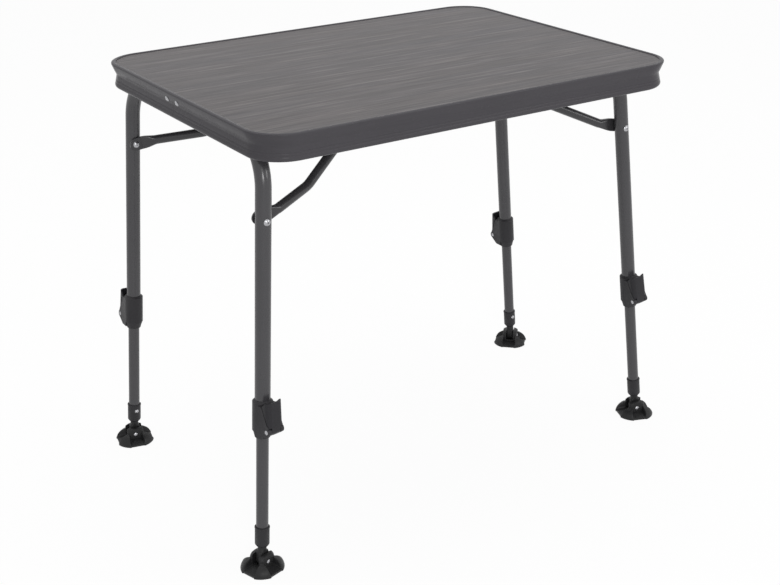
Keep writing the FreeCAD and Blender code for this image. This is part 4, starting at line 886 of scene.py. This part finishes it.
# %% Camera
LENS, SENSOR_WIDTH, FAR_CLIP = 63.70, 36.0, 50.0
CAMERA_OFFSET = np.array([-1265.2, -1964.9, 564.2])
CAMERA_PLACE = np.array([TOP_MIDDLE[0], 0, TOP_Z]) + CAMERA_OFFSET
YAW, PITCH, ROLL = (math.radians(angle) for angle in (32.835, 23.182, -0.693))
look = np.array([math.sin(YAW) * math.cos(PITCH), math.cos(YAW) * math.cos(PITCH), -math.sin(PITCH)])
right = unit(np.cross(look, UP))
above = np.cross(right, look)
right, above = (math.cos(ROLL) * right + math.sin(ROLL) * above,
                math.cos(ROLL) * above - math.sin(ROLL) * right)


def standing(axes, place):
    """A matrix from three axes and a place in metres."""
    pose = np.eye(4)
    pose[:3] = np.stack([*axes, place], -1)
    return Matrix(pose.tolist())


lens = bpy.data.cameras.new("photo_camera")
lens.lens = LENS
lens.sensor_width = SENSOR_WIDTH
lens.clip_end = FAR_CLIP
camera = bpy.data.objects.new("photo_camera", lens)
bpy.context.scene.collection.objects.link(camera)
camera.matrix_world = standing((right, above, -look), CAMERA_PLACE * MM)
bpy.context.scene.camera = camera
print("camera", np.round(CAMERA_PLACE).tolist())

# %% [markdown]
# ## Sky
# The photograph is a cut-out on white. A sky as bright as that would wash the table out. So rays from
# the camera and from glossy surfaces see plain white, and the light that falls on the table is a
# softer share of it.

# %% Sky
SKY_LIGHT = 0.46
WHITE = (1, 1, 1, 1)
scene = bpy.context.scene
scene.view_settings.view_transform = "Standard"
world = bpy.data.worlds.new("studio_sky")
scene.world = world
world.use_nodes = True
sky = world.node_tree
sky.nodes.clear()


def seen_directly(tree):
    """One for rays from the camera, a mirror or a glass, else zero."""
    path = node_in(tree, "ShaderNodeLightPath")
    first = node_in(tree, "ShaderNodeMath", operation="MAXIMUM")
    second = node_in(tree, "ShaderNodeMath", operation="MAXIMUM")
    tree.links.new(path.outputs["Is Camera Ray"], first.inputs[0])
    tree.links.new(path.outputs["Is Glossy Ray"], first.inputs[1])
    tree.links.new(first.outputs[0], second.inputs[0])
    tree.links.new(path.outputs["Is Transmission Ray"], second.inputs[1])
    return second.outputs[0]


def blended(tree, share, first, second, output):
    """Two shaders mixed by a share and joined to the output."""
    blend = node_in(tree, "ShaderNodeMixShader")
    tree.links.new(share, blend.inputs["Fac"])
    tree.links.new(first.outputs[0], blend.inputs[1])
    tree.links.new(second.outputs[0], blend.inputs[2])
    tree.links.new(blend.outputs[0], node_in(tree, output).inputs["Surface"])


backgrounds = []
for strength in (SKY_LIGHT, 1.0):
    background = node_in(sky, "ShaderNodeBackground")
    background.inputs["Color"].default_value = WHITE
    background.inputs["Strength"].default_value = strength
    backgrounds.append(background)
blended(sky, seen_directly(sky), *backgrounds, "ShaderNodeOutputWorld")
print("sky nodes", len(sky.nodes))

# %% [markdown]
# ## Floor
# A plain white floor would look grey where the light falls off. This one glows nearly white where the
# camera or a reflection sees it. A share of plain matt white stays in it, and keeps a faint shadow
# under the feet.

# %% Floor
FLOOR_HALF, FLOOR_GREY, FLOOR_GLOW, GLOW_SHARE = 12.0, 0.82, 1.04, 0.9


def white_floor():
    """Seen directly: a share of glow and the rest matt. By other rays: matt alone."""
    material = bpy.data.materials.new("studio_floor")
    material.use_nodes = True
    tree = material.node_tree
    tree.nodes.clear()
    matt = node_in(tree, "ShaderNodeBsdfDiffuse")
    matt.inputs["Color"].default_value = (FLOOR_GREY, FLOOR_GREY, FLOOR_GREY, 1)
    glow = node_in(tree, "ShaderNodeEmission")
    glow.inputs["Strength"].default_value = FLOOR_GLOW
    share = node_in(tree, "ShaderNodeMath", operation="MULTIPLY")
    share.inputs[1].default_value = GLOW_SHARE
    tree.links.new(seen_directly(tree), share.inputs[0])
    blended(tree, share.outputs[0], matt, glow, "ShaderNodeOutputMaterial")
    return material


floor_mesh = bpy.data.meshes.new("studio_floor")
floor_corners = [(-1, -1, 0), (1, -1, 0), (1, 1, 0), (-1, 1, 0)]
floor_mesh.from_pydata((np.array(floor_corners) * FLOOR_HALF).tolist(), [], [(0, 1, 2, 3)])
floor = bpy.data.objects.new("studio_floor", floor_mesh)
floor.data.materials.append(white_floor())
scene.collection.objects.link(floor)
print("floor", 2 * FLOOR_HALF, "m square")

# %% [markdown]
# ## Lamps
# One huge lamp would light the table evenly but leave no glints. A small bright box behind the
# camera makes those on the rim's corner and on the bends of the legs. A larger one fills the right
# side, and a very large one hangs above the board.

# %% Lamps
NOT_QUITE_UP = UP + [0.001, 0, 0]


def soft_box(name, place, target, size, power):
    """A square lamp at a place, turned to shine at a target."""
    lamp = bpy.data.lights.new(name, "AREA")
    lamp.size = size
    lamp.energy = power
    holder = bpy.data.objects.new(name, lamp)
    back = unit(np.array(place, float) - np.array(target, float))
    side = unit(np.cross(NOT_QUITE_UP, back))
    holder.matrix_world = standing((side, np.cross(back, side), back), np.array(place, float))
    scene.collection.objects.link(holder)


soft_box("key_box", place=(-1.5, -3.3, 1.5), target=(0, 0, 0.6), size=0.5, power=24.0)
soft_box("fill_box", place=(2.0, -3.0, 1.7), target=(0, 0, 0.5), size=1.0, power=18.0)
soft_box("top_box", place=(0.2, 0.6, 3.2), target=(0, 0, 0.7), size=2.6, power=24.0)
print("lamps", len(bpy.data.lights))
